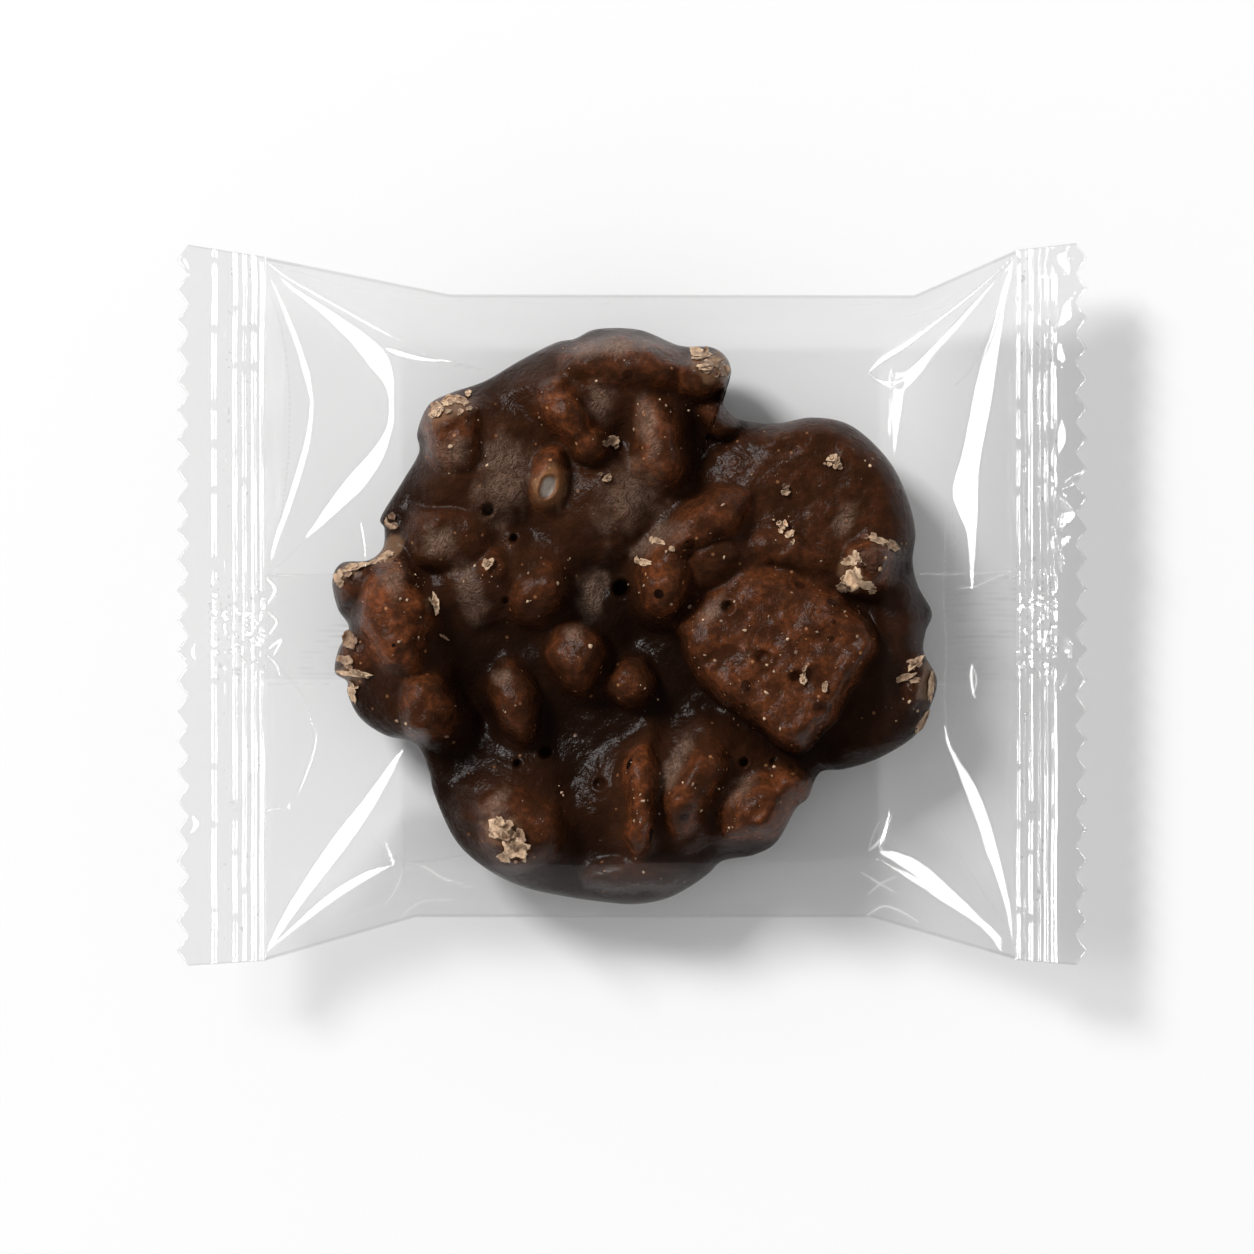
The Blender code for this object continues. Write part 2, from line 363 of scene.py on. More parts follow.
# folds that catch the light: the film turns steeper in a strip along each path
wrinkles = {
    # slope of the strips, and the distance over which their lift fades
    "steepness": 0.84,
    "reach": 2.4,
    "samples": 90,
    # half the distance over which the slope of the plain film is measured
    "slopeStep": 0.4,
    # how far from a path the lift is worked out, and how far it runs on past the path's ends before it fades
    "around": 9.0,
    "beyondEnds": 0.3,
    # distances from the long edges and from the seals over which the lift starts
    "edgeInset": (0.1, 0.7),
    "sealInset": (0.0, 0.4),
    # X, Y, width of the strip
    "paths": {
        "upperLeftMain": (
            (-42.3, 39.4, 0.12), (-39.5, 36.7, 0.58), (-36.0, 34.2, 1.04), (-33.1, 31.9, 1.62),
            (-30.8, 29.9, 2.31), (-29.1, 27.9, 2.54), (-28.0, 25.6, 1.15), (-27.7, 23.2, 0.35),
        ),
        "upperLeftLower": (
            (-27.7, 23.4, 0.35), (-28.0, 20.1, 0.69), (-29.5, 17.0, 1.73), (-31.8, 14.1, 2.31),
            (-34.2, 11.5, 1.73), (-36.2, 9.2, 0.92), (-38.1, 7.2, 0.12),
        ),
        "upperLeftInner": (
            (-42.6, 39.2, 0.12), (-41.1, 36.3, 0.46), (-39.2, 31.7, 0.69), (-37.8, 27.6, 0.81),
            (-37.0, 24.2, 0.58), (-36.9, 23.0, 0.46), (-37.4, 19.0, 0.69), (-38.5, 14.9, 0.81),
            (-40.0, 10.3, 0.69), (-41.4, 6.3, 0.35), (-42.0, 4.4, 0.12),
        ),
        "lowerLeftMain": (
            (-42.6, -40.8, 0.12), (-40.0, -36.4, 1.04), (-36.9, -31.8, 1.62), (-33.3, -26.9, 1.96),
            (-30.2, -22.7, 1.50), (-27.6, -18.6, 0.81), (-25.8, -15.9, 0.12),
        ),
        "lowerLeftCrease": (
            (-42.2, -40.3, 0.12), (-38.3, -36.7, 0.69), (-34.3, -33.5, 1.15), (-30.5, -31.2, 1.04),
            (-27.9, -30.2, 0.46), (-26.8, -29.8, 0.12),
        ),
        "upperRightFork": (
            (27.5, 26.6, 0.12), (29.1, 25.4, 0.69), (30.7, 25.3, 1.62), (32.5, 26.7, 1.38),
            (34.4, 28.9, 0.81), (37.5, 32.2, 0.58), (40.7, 35.9, 0.35), (43.8, 39.5, 0.12),
        ),
        "upperRightStem": ((30.2, 16.9, 0.12), (30.3, 20.1, 0.69), (30.6, 22.7, 1.04), (30.7, 24.5, 1.27)),
        "upperRightBlade": (
            (44.2, 40.0, 0.12), (43.0, 36.3, 0.58), (42.2, 32.2, 1.04), (41.3, 28.2, 1.73),
            (40.4, 23.6, 2.19), (39.6, 19.6, 2.19), (38.9, 16.1, 2.42), (38.4, 13.2, 3.12),
            (38.7, 11.1, 2.54), (39.1, 8.6, 1.27), (39.2, 6.3, 0.81), (39.2, 3.7, 0.46),
        ),
        "lowerRightBlade": (
            (44.3, -39.6, 0.12), (43.3, -34.7, 0.69), (41.9, -29.5, 1.15), (40.3, -24.5, 1.50),
            (38.8, -20.8, 1.38), (37.5, -18.3, 0.69), (36.3, -15.6, 0.35), (36.0, -12.7, 0.12),
        ),
        "lowerRightMain": (
            (44.1, -39.9, 0.12), (40.7, -37.0, 0.69), (36.7, -33.6, 1.50), (32.9, -30.5, 1.85),
            (30.3, -29.1, 1.50), (28.6, -28.6, 0.69), (27.2, -28.3, 0.12),
        ),
        "leftFaint": (
            (-41.7, -6.4, 0.12), (-39.5, -9.9, 0.23), (-36.9, -13.6, 0.23), (-36.5, -16.2, 0.23),
            (-38.3, -21.4, 0.23), (-40.2, -23.9, 0.12),
        ),
        "leftSpoke": (
            (-42.7, 38.6, 0.12), (-41.1, 32.8, 0.23), (-40.2, 23.6, 0.23), (-40.4, 14.4, 0.23),
            (-41.5, 5.1, 0.12),
        ),
        "leftTip": ((-32.3, 9.7, 0.12), (-31.2, 9.1, 0.35), (-30.7, 5.1, 0.23), (-30.9, 1.7, 0.12)),
        "lowerLeftSpoke": (
            (-41.2, -39.9, 0.12), (-34.8, -37.0, 0.23), (-29.1, -34.7, 0.23), (-25.4, -33.5, 0.12),
        ),
        "lowerLeftRay": (
            (-41.8, -38.1, 0.12), (-39.5, -32.9, 0.23), (-38.8, -28.3, 0.23), (-39.7, -22.6, 0.12),
        ),
        "upperRightSpoke": ((43.4, 38.8, 0.12), (40.7, 34.2, 0.23), (38.4, 30.3, 0.23), (36.7, 26.8, 0.12)),
        "upperRightRay": ((43.8, 38.0, 0.12), (42.0, 32.2, 0.23), (40.6, 28.2, 0.23), (39.2, 23.6, 0.12)),
        "upperRightThread": (
            (42.9, 40.0, 0.12), (38.4, 36.9, 0.23), (33.8, 34.0, 0.23), (28.6, 31.1, 0.12),
        ),
        "lowerRightRay": (
            (43.8, -38.1, 0.12), (42.0, -32.9, 0.23), (40.7, -28.3, 0.23), (39.0, -24.3, 0.12),
        ),
        "lowerRightSpoke": (
            (43.6, -40.1, 0.12), (39.0, -37.6, 0.23), (33.8, -34.7, 0.23), (30.1, -32.4, 0.12),
        ),
        "lowerRightThread": (
            (44.1, -38.7, 0.12), (40.7, -34.1, 0.23), (37.8, -30.6, 0.23), (34.4, -27.7, 0.12),
        ),
    },
}


def openCurve(points, samples):
    # smooth curve through the points, which may carry more numbers than X and Y
    stops = np.array(points, dtype=float)
    stops = np.concatenate([2 * stops[:1] - stops[1:2], stops, 2 * stops[-1:] - stops[-2:-1]])
    place = np.linspace(1, len(stops) - 2, samples)
    index = np.minimum(place.astype(int), len(stops) - 3)
    t = (place - index)[:, None]
    return cubicBetween(*(stops[index + k] for k in (-1, 0, 1, 2)), t)


def nearCurve(x, y, curve, around):
    # true in the upright box that holds the curve and the given width round it
    low, high = curve.min(axis=0) - around, curve.max(axis=0) + around
    return (x > low[0]) & (x < high[0]) & (y > low[1]) & (y < high[1])


def wrinkleLift(x, y, path, surface):
    # height that one strip adds: across it the film climbs by change * distance, which makes its whole slope
    # as steep as asked, and beyond its edges that height fades away
    curve = openCurve(path, wrinkles["samples"])
    place, half = curve[:, :2], np.maximum(curve[:, 2], 0.02) / 2
    ahead = np.gradient(place, axis=0)
    ahead = ahead / np.hypot(ahead[:, 0], ahead[:, 1])[:, None]
    across = np.stack([-ahead[:, 1], ahead[:, 0]], axis=1)
    pathX, pathY, step = place[:, 0], place[:, 1], wrinkles["slopeStep"]
    slopeX = (surface(pathX + step, pathY) - surface(pathX - step, pathY)) / (2 * step)
    slopeY = (surface(pathX, pathY + step) - surface(pathX, pathY - step)) / (2 * step)
    climb = slopeX * across[:, 0] + slopeY * across[:, 1]
    across = across * np.where(climb < 0, -1.0, 1.0)[:, None]
    climb = np.abs(climb)
    missing = wrinkles["steepness"] ** 2 - slopeX ** 2 - slopeY ** 2
    change = np.sqrt(np.maximum(climb ** 2 + missing, 0)) - climb
    near = nearCurve(x, y, place, wrinkles["around"])
    lift = np.zeros(x.shape)
    nearX, nearY = x[near], y[near]
    closest = np.argmin((nearX[:, None] - pathX) ** 2 + (nearY[:, None] - pathY) ** 2, axis=1)
    offsetX, offsetY = nearX - place[closest, 0], nearY - place[closest, 1]
    side = offsetX * across[closest, 0] + offsetY * across[closest, 1]
    forward = np.abs(offsetX * ahead[closest, 0] + offsetY * ahead[closest, 1])
    width = half[closest]
    beyondEnds = np.maximum(forward - wrinkles["beyondEnds"], 0)
    outside = np.hypot(np.maximum(np.abs(side) - width, 0), beyondEnds)
    lift[near] = change[closest] * np.clip(side, -width, width) * np.exp(-outside / wrinkles["reach"])
    return lift


def filmHeight(x, y):
    # the roof with its folds, which stop short of the seals and long edges
    height = roofHeight(x, y)
    fromSeal = np.minimum(x - packet["leftSealEnd"], packet["rightSealEnd"] - x)
    calm = share(inFromEdges(x, y), *wrinkles["edgeInset"]) * share(fromSeal, *wrinkles["sealInset"])
    for path in wrinkles["paths"].values():
        height = height + calm * wrinkleLift(x, y, path, roofHeight)
    return height


# painted highlights: thin white lines along the film's creases and folds: strength, and a path of X, Y, width
paintedHighlightLines = {
    "topStreakHigh": (0.10, ((-21.0, 34.2, 0.8), (-8.0, 33.5, 1.4), (6.0, 34.2, 1.0), (20.0, 33.2, 0.8))),
    "topStreakMiddle": (0.07, ((-17.0, 30.6, 1.4), (-4.0, 29.8, 2.4), (8.0, 30.2, 2.0), (18.0, 29.4, 1.4))),
    "topStreakRight": (0.10, ((2.0, 32.6, 0.7), (14.0, 31.8, 1.3), (26.0, 32.4, 0.8))),
    "lowStreakLeft": (0.09, ((-27.0, -33.4, 0.8), (-17.0, -34.8, 1.5), (-4.0, -35.6, 1.0))),
    "lowStreakRight": (0.08, ((8.0, -34.4, 0.8), (18.0, -33.2, 1.6), (28.0, -34.6, 1.0))),
    "upperRightArm": (0.95, (
        (27.3, 26.8, 0.23), (28.8, 28.2, 0.69), (31.5, 29.9, 0.69), (35.0, 32.5, 0.46), (39.6, 36.1, 0.35),
        (44.0, 40.1, 0.23),
    )),
    "upperRightHook": (0.70, (
        (27.2, 26.6, 0.23), (28.2, 25.8, 0.35), (29.5, 25.4, 0.35), (30.9, 25.7, 0.35), (32.5, 26.6, 0.23),
    )),
    "upperRightHair": (0.50, (
        (43.8, 39.5, 0.23), (39.6, 35.1, 0.29), (36.1, 31.1, 0.29), (33.8, 28.0, 0.23),
    )),
    "upperLeftBranch": (0.95, (
        (-28.2, 29.4, 0.46), (-26.5, 28.8, 0.69), (-23.9, 28.2, 0.46), (-21.0, 28.0, 0.23),
    )),
    "upperLeftStar": (0.40, ((-21.0, 28.0, 0.23), (-19.6, 27.5, 0.35), (-17.5, 27.1, 0.23))),
    "upperLeftEdge": (0.35, (
        (-42.0, 39.4, 0.23), (-33.7, 36.9, 0.35), (-26.8, 35.6, 0.35), (-21.0, 34.8, 0.23),
    )),
    "lowerLeftStarUp": (0.35, ((-26.2, -29.7, 0.23), (-26.2, -27.7, 0.29), (-26.3, -24.9, 0.23))),
    "lowerLeftStarEast": (0.55, (
        (-26.2, -29.7, 0.23), (-23.9, -30.2, 0.35), (-21.6, -31.6, 0.35), (-18.5, -32.5, 0.23),
    )),
    "lowerLeftStarFlat": (0.35, ((-26.2, -29.7, 0.23), (-23.3, -29.5, 0.35), (-19.8, -28.9, 0.23))),
    "lowerLeftStarSouth": (0.40, ((-26.3, -29.8, 0.23), (-27.0, -32.4, 0.35), (-28.5, -34.7, 0.23))),
    "lowerLeftStarRay": (0.35, ((-26.3, -29.6, 0.23), (-28.5, -28.3, 0.23), (-30.0, -26.9, 0.23))),
    "lowerRightStarUp": (0.60, (
        (27.2, -28.4, 0.23), (28.2, -27.5, 0.58), (29.1, -26.2, 0.35), (29.9, -24.3, 0.23),
    )),
    "lowerRightStarThin": (0.50, ((27.2, -28.4, 0.23), (27.7, -26.6, 0.23), (28.4, -25.1, 0.23))),
    "lowerRightStarLow": (0.50, ((26.5, -30.9, 0.23), (28.6, -32.2, 0.35), (30.6, -33.3, 0.23))),
    "lowerRightStarCross": (0.45, ((27.2, -33.5, 0.23), (28.6, -32.2, 0.35), (30.5, -31.3, 0.23))),
    "lowerRightLoop": (0.55, (
        (27.2, -35.8, 0.23), (29.1, -34.8, 0.35), (31.2, -35.5, 0.35), (33.0, -36.6, 0.23),
    )),
    "lowerLeftLoop": (0.40, ((-26.8, -36.2, 0.23), (-24.5, -34.4, 0.35), (-20.4, -34.0, 0.23))),
    "rightLine": (0.35, (
        (36.0, 10.3, 0.23), (36.1, 6.9, 0.35), (35.9, 0.5, 0.35), (36.2, -5.2, 0.35), (36.0, -11.0, 0.35),
        (36.6, -16.2, 0.23),
    )),
    "rightLineTwin": (0.22, (
        (36.8, 11.5, 0.23), (37.3, 5.1, 0.35), (36.9, -1.8, 0.35), (37.3, -8.7, 0.35), (36.7, -15.6, 0.23),
    )),
    "rightMark": (0.80, ((39.2, -6.9, 0.23), (39.1, -8.2, 0.46), (39.3, -10.1, 0.35), (39.6, -10.8, 0.23))),
    "rightMarkTwin": (0.60, ((39.2, -6.9, 0.23), (39.7, -8.5, 0.35), (39.5, -10.1, 0.23))),
    "finUpperLeft": (0.50, ((-42.0, 3.5, 0.35), (-38.3, 3.3, 0.23), (-34.3, 3.4, 0.23))),
    "finUpperRight": (0.42, ((33.2, 3.5, 0.23), (36.7, 3.5, 0.35), (40.7, 3.6, 0.35), (43.6, 3.9, 0.46))),
    "finUpperBend": (0.50, ((37.3, 1.9, 0.23), (39.6, 2.1, 0.35), (41.9, 3.1, 0.35), (43.6, 3.7, 0.23))),
    "finLowerLeft": (0.30, ((-42.0, -9.2, 0.35), (-38.3, -9.1, 0.23), (-34.8, -9.2, 0.23))),
    "finLowerRight": (0.30, ((35.0, -9.2, 0.23), (39.0, -9.3, 0.23), (43.4, -9.2, 0.35))),
    "leftCurlOne": (0.90, ((-42.2, 3.1, 0.23), (-41.2, 1.7, 0.46), (-42.0, 0.1, 0.23))),
    "leftCurlTwo": (0.80, ((-42.0, -0.9, 0.23), (-41.0, -2.0, 0.35), (-41.8, -3.4, 0.35))),
    "leftCurlThree": (0.90, ((-41.8, -5.0, 0.35), (-40.5, -4.1, 0.35), (-41.3, -5.8, 0.23))),
    "leftCurlFour": (0.70, ((-42.2, -5.8, 0.23), (-41.1, -6.9, 0.35), (-40.6, -8.2, 0.23))),
    "leftCurlLow": (0.60, ((-42.2, -23.9, 0.35), (-41.1, -23.5, 0.35), (-40.2, -23.7, 0.23))),
    "leftFinRay": (0.30, ((-42.0, 3.7, 0.23), (-40.0, 5.1, 0.23), (-38.3, 6.9, 0.23))),
    "leftMiddleRay": (0.35, (
        (-41.5, -6.4, 0.23), (-39.2, -8.9, 0.35), (-37.6, -11.2, 0.23), (-36.5, -15.6, 0.23),
    )),
    "leftLongRay": (0.30, (
        (-42.5, 38.0, 0.23), (-40.4, 31.7, 0.35), (-39.5, 23.6, 0.35), (-39.9, 14.4, 0.35),
        (-41.5, 5.1, 0.23),
    )),
    "topEdgeLine": (0.30, (
        (-20.4, 35.1, 0.23), (-8.3, 34.7, 0.35), (7.8, 34.8, 0.35), (25.2, 34.6, 0.23), (28.6, 34.8, 0.23),
    )),
    "upperRightRay": (0.35, ((44.0, 38.6, 0.23), (41.3, 31.7, 0.35), (39.0, 27.1, 0.35), (37.3, 25.3, 0.23))),
    "upperRightCross": (0.30, ((43.4, 39.5, 0.23), (37.8, 35.1, 0.35), (31.5, 33.1, 0.23))),
    "lowerRightRay": (0.30, (
        (44.1, -38.7, 0.23), (39.6, -31.8, 0.35), (37.3, -28.3, 0.23), (35.0, -24.9, 0.23),
    )),
}


def highlightLineMask(x, y, lines):
    # strength * exp(-4 (distance / width)^2) along each line, the strongest one winning
    mask = np.zeros(x.shape)
    for strength, path in lines.values():
        curve = openCurve(path, wrinkles["samples"])
        near = nearCurve(x, y, curve[:, :2], 0.5 + 1.5 * curve[:, 2].max())
        apart = (x[near][:, None] - curve[None, :, 0]) ** 2 + (y[near][:, None] - curve[None, :, 1]) ** 2
        closest = apart.argmin(axis=1)
        width = np.maximum(curve[closest, 2], 0.05)
        mask[near] = np.maximum(mask[near], strength * np.exp(-4 * apart.min(axis=1) / width ** 2))
    return mask


# the praline: a cluster of pecans under dark chocolate

praline = {
    # the grid is laid out from here, as a disc of this radius that is stretched to the outline
    "centre": (0.3, -1.5),
    "meanRadius": 33.0,
    "rimHeight": 7.4,
    "rimWidth": 3.4,
    "puddleHeight": 10.0,
    # height over which surfaces run into each other
    "blend": 0.34,
    "lumpFoot": 7.0,
    "lumpGrowth": 1.17,
    "extraFlatness": 1.0,
    # the coat that sags between the nuts: how far below their tops it starts, how far it spreads, how soft it
    # joins, how much nut shows through
    "coatDrop": 2.5,
    "coatSpread": 1.65,
    "coatBlend": 0.9,
    "coatTone": 0.12,
    # how far the nuts' outlines wander, at two sizes
    "warps": ((0.8, 4.6), (0.3, 1.9)),
    "clearOfFilm": 0.35,
    "baseHeight": 0.62,
    "baseInset": 9.5,
    "outlineSamples": 4000,
    "gridSide": 272,
    "rimRows": 9,
    "undersideRows": 14,
    # heights between which the painted shade in the low valleys fades from nearly black to none
    "valleyShadeHeights": (9.0, 13.8),
    "colourDark": (0.032, 0.0118, 0.0052),
    "colourNut": (0.200, 0.0560, 0.0180),
    "colourDarkSpeckAndShade": (0.0075, 0.0030, 0.0016),
    "colourBare": (0.30, 0.165, 0.088),
    # colour of the painted sheen
    "colourPaintedSheen": (0.300, 0.188, 0.132),
    "colourSpeck": (0.36, 0.165, 0.075),
    "colourEyeRim": (0.30, 0.125, 0.045),
    "colourEyeHollow": (0.56, 0.50, 0.44),
    # outline seen from above, clockwise from the top: X, Y
    "outline": (
        (-4.0, 31.8), (0.9, 31.7), (5.5, 29.9), (9.2, 29.7), (11.1, 28.2), (11.4, 25.9), (10.4, 23.6),
        (12.1, 21.5), (16.5, 20.9), (20.8, 21.6), (25.2, 20.7), (29.2, 17.2), (31.5, 13.2), (32.7, 8.6),
        (32.4, 5.1), (33.0, 2.2), (34.6, -0.9), (33.9, -3.2), (33.7, -5.5), (35.2, -8.7), (34.4, -11.9),
        (32.7, -15.1), (28.6, -17.7), (24.6, -19.0), (21.7, -19.4), (20.3, -22.3), (18.9, -23.6),
        (16.7, -27.4), (14.1, -28.9), (10.5, -29.6), (8.8, -31.1), (6.5, -32.7), (3.8, -34.0), (0.3, -34.6),
        (-3.7, -34.3), (-8.3, -33.6), (-12.9, -32.5), (-17.0, -30.4), (-20.4, -27.2), (-22.8, -22.0),
        (-23.5, -19.1), (-25.0, -16.1), (-28.5, -15.1), (-31.4, -13.1), (-32.8, -10.4), (-32.9, -8.9),
        (-34.3, -7.8), (-33.9, -5.2), (-32.7, -2.7), (-34.0, -0.4), (-34.6, 2.8), (-33.5, 4.8),
        (-30.5, 5.1), (-28.8, 6.5), (-28.6, 8.8), (-29.0, 10.1), (-26.4, 14.4), (-24.6, 17.6),
        (-24.8, 19.9), (-23.5, 23.0), (-21.0, 24.4), (-17.0, 25.8), (-12.9, 28.2), (-8.9, 30.2), (-6.6, 30.7),
    ),
    # coated nuts: X, Y, length, width, turn, top height, how flat the top is, how much nut shows through
    "lumps": {
        "flakyCorner": (-20.7, 19.8, 10.4, 8.6, 95, 16.6, 2.5, 0.55),
        "upperNut": (-7.4, 21.8, 9.0, 7.4, 115, 17.0, 2.3, 0.90),
        "upperNutLobe": (-5.2, 19.0, 6.0, 5.6, 60, 16.4, 2.3, 0.70),
        "upperNutTop": (-8.6, 24.6, 5.0, 4.8, 0, 15.8, 2.2, 0.55),
        "eyeNut": (-9.8, 14.2, 7.8, 5.6, 80, 16.2, 2.4, 0.85),
        "topRidge": (-0.6, 27.6, 18.0, 7.6, -4, 15.6, 2.4, 0.50),
        "topRidgeEnd": (8.2, 26.6, 7.4, 6.8, 10, 16.0, 2.6, 0.45),
        "ridgeFoot": (10.0, 21.7, 5.4, 3.8, -30, 13.4, 2.2, 0.35),
        "tallNut": (3.1, 18.2, 12.6, 6.6, 95, 17.3, 2.5, 0.80),
        "leftMound": (-20.6, 7.6, 12.0, 8.6, -8, 14.2, 2.0, 0.20),
        "middleWest": (-15.9, 4.2, 6.4, 5.4, 30, 14.9, 2.0, 0.45),
        "middleNut": (-10.6, 1.4, 9.6, 6.8, 70, 15.6, 2.2, 0.40),
        "bigLeftNut": (-27.2, -1.8, 15.6, 8.6, 97, 16.6, 2.4, 0.95),
        "lowerLeftNut": (-24.0, -11.7, 8.8, 7.8, 120, 15.4, 2.4, 0.60),
        "lowerLobe": (-29.3, -11.0, 12.0, 8.4, 130, 9.8, 4.0, 0.15),
        "leftShardUpper": (-32.2, 2.4, 5.6, 5.0, 40, 12.6, 3.5, 0.40),
        "leftShardLower": (-31.6, -6.2, 6.6, 6.0, 150, 12.2, 3.0, 0.60),
        "finger": (8.2, 9.0, 14.6, 7.2, 42, 17.3, 2.0, 0.50),
        "fingerMass": (9.8, 5.0, 9.0, 7.4, 40, 16.1, 2.2, 0.25),
        "plateShoulder": (17.8, 6.0, 14.0, 6.4, -31, 14.6, 2.0, 0.35),
        "fingerNut": (4.2, 3.2, 9.8, 6.6, 86, 17.6, 2.5, 0.85),
        "valleyNut": (-6.6, -6.2, 9.4, 7.0, 108, 15.6, 2.2, 0.50),
        "valleyNutEast": (-0.1, -8.9, 6.4, 5.6, 60, 13.8, 2.2, 0.45),
        "valleyNutWest": (-13.3, -11.4, 10.6, 5.6, 108, 14.4, 2.1, 0.35),
        "plateauDisc": (20.0, 10.6, 27.0, 23.0, 10, 12.9, 5.0, 0.24),
        "nutEnd": (27.5, 4.8, 6.8, 6.6, 20, 18.2, 2.4, 0.70),
        "rightFlank": (31.2, -1.5, 13.0, 6.4, 102, 12.4, 2.6, 0.10),
        "rightLobe": (27.6, -10.6, 16.0, 14.0, 30, 10.8, 5.0, 0.12),
        "rightShell": (33.0, -8.6, 8.6, 3.2, 78, 12.0, 2.4, 0.45),
        "southWaist": (0.9, -22.3, 14.4, 5.0, 86, 17.2, 2.4, 0.90),
        "southNut": (7.2, -21.0, 13.0, 6.2, 70, 17.2, 2.3, 0.60),
        "southEast": (14.6, -23.6, 10.0, 8.4, 15, 16.2, 2.6, 0.75),
        "southEastNub": (18.0, -21.0, 5.6, 6.2, 60, 15.6, 2.4, 0.65),
        "flakedMound": (-13.0, -25.6, 11.4, 10.6, 125, 15.0, 2.8, 0.40),
        "bottomRim": (0.9, -30.8, 14.0, 5.6, 0, 12.4, 2.6, 0.15),
    },
    # buried nuts that only swell the coat: X, Y, length, width, turn, top height
    "swells": {
        "northWest": (-16.5, 16.0, 15.0, 13.0, 60, 14.6),
        "north": (-4.0, 24.5, 20.0, 9.0, -5, 14.0),
        "centre": (-3.6, 11.4, 15.0, 12.0, 40, 14.4),
        "middle": (-15.0, 3.0, 15.0, 9.0, 15, 14.0),
        "besideFinger": (12.0, 5.0, 11.0, 9.0, 40, 14.2),
        "south": (5.0, -21.0, 19.0, 13.0, 15, 13.4),
        "flaked": (-13.0, -25.0, 14.0, 12.0, 125, 12.8),
        "west": (-26.5, -5.0, 10.0, 18.0, 0, 12.8),
        "lobes": (28.0, -8.0, 11.0, 15.0, 0, 11.2),
    },
    # the flat broken nut on the right: corners clockwise
    "plateCorners": (
        (3.8, -2.6), (8.6, 2.6), (13.4, 7.6), (18.2, 5.2), (23.4, 2.0), (28.6, -1.4), (28.9, -5.0),
        (26.6, -10.4), (22.8, -15.0), (19.4, -17.6), (15.2, -16.0), (10.8, -12.4), (6.4, -7.8),
    ),
    "plateTop": 16.5,
    # slope along X and Y
    "plateTilt": (0.01, -0.12),
    # width of the falling edge, and how much wider it gets towards the upper side, over which distance
    "plateEdge": 2.7,
    "plateMerge": 3.0,
    "plateMergeReach": 9.0,
    "plateCornerSoftness": 0.55,
    "plateTone": 0.62,
    # hollows between the nuts: X, Y, length, width, turn, depth
    "hollows": (
        (-19.0, -12.6, 8.0, 11.0, 20, 3.0), (-8.6, -14.6, 9.0, 8.0, 0, 1.0), (0.4, -4.0, 6.0, 5.0, 60, 1.2),
        (9.6, 19.6, 3.4, 9.0, 20, 1.4), (-5.2, 6.4, 5.0, 4.0, 0, 0.8), (20.4, 14.6, 3.6, 3.0, 30, 0.5),
        (24.6, -13.0, 9.0, 7.0, 40, 1.0), (-29.8, 0.8, 2.4, 6.0, 100, 2.2),
    ),
    # small round pits: X, Y, radius, depth
    "pits": (
        (-16.6, 10.9, 0.75, 1.6), (-1.2, 1.8, 1.0, 2.0), (11.0, -0.3, 0.75, 1.3), (-10.0, -17.1, 0.75, 1.4),
        (-13.2, -18.4, 0.5, 1.0), (12.9, -18.2, 0.55, 1.3), (-14.6, 0.5, 0.4, 0.8), (6.7, 6.9, 0.6, 1.2),
        (15.1, -6.1, 0.9, 0.8), (18.9, -8.4, 0.8, 0.7), (-3.7, -20.7, 0.7, 0.6), (-13.6, 7.6, 0.5, 1.3),
        (16.4, -18.2, 0.5, 0.5), (18.5, -19.1, 0.5, 0.5), (21.6, -12.0, 0.6, 0.5),
    ),
    # patches of painted sheen in fine wrinkled lines, which also carry a wrinkle bump: X, Y, length, width,
    # turn
    "sheenPatches": (
        (-14.6, 14.4, 10.5, 7.6, 75), (-0.3, 12.1, 10.5, 7.0, 60), (-3.7, 23.7, 5.6, 3.2, 80),
        (-18.7, 1.6, 7.6, 3.4, 110), (4.9, -18.6, 8.0, 2.4, 62), (-22.2, 7.1, 5.0, 4.0, 0),
        (-20.6, 17.4, 5.0, 4.6, 0), (1.9, 20.2, 8.0, 3.0, 95), (-4.8, 1.3, 8.0, 3.6, 75),
        (-6.8, -3.4, 2.6, 2.2, 0), (-15.0, -8.4, 2.4, 2.0, 0), (-27.4, 3.0, 5.0, 3.0, 90),
        (3.0, 7.6, 7.0, 3.0, 25), (-1.6, 29.6, 9.0, 2.4, 5), (12.6, -21.2, 5.0, 2.4, 40),
        (24.6, 9.6, 4.4, 2.4, 60), (-15.6, -22.6, 5.4, 2.6, 40), (9.4, -0.6, 4.0, 2.4, 50),
    ),
    # bare, flaky ends of nuts: X, Y, length, width, turn
    "bareTips": (
        (-21.6, 22.2, 6.6, 3.6, 20), (9.0, 28.0, 5.0, 4.0, 20), (25.6, 3.6, 3.0, 3.8, 10),
        (-14.6, -26.6, 5.4, 3.6, -40), (-28.4, 6.4, 4.0, 2.4, 35), (-33.0, -8.6, 5.0, 2.0, -12),
        (34.2, -8.6, 7.6, 1.7, 80), (-9.6, 13.6, 3.6, 4.6, 0), (-33.2, 3.4, 3.4, 2.0, 20),
    ),
    # the hollow in the middle of the split nut: X, Y, length, width, turn, depth
    "eye": (-9.7, 13.4, 2.8, 1.7, 66, 1.1),
}


def closedCurve(points, samples):
    # smooth closed curve through the points
    stops = np.array(points, dtype=float)
    place = np.linspace(0, len(stops), samples, endpoint=False)
    index = place.astype(int)
    t = (place - index)[:, None]
    return cubicBetween(*(stops[(index + k) % len(stops)] for k in (-1, 0, 1, 2)), t)


def outlineRadius(angle):
    # distance of the praline's outline from its centre in the given direction
    curve = closedCurve(praline["outline"], praline["outlineSamples"]) - np.array(praline["centre"])
    directions = np.arctan2(curve[:, 1], curve[:, 0])
    order = np.argsort(directions)
    return np.interp(angle, directions[order], np.hypot(curve[:, 0], curve[:, 1])[order], period=2 * math.pi)


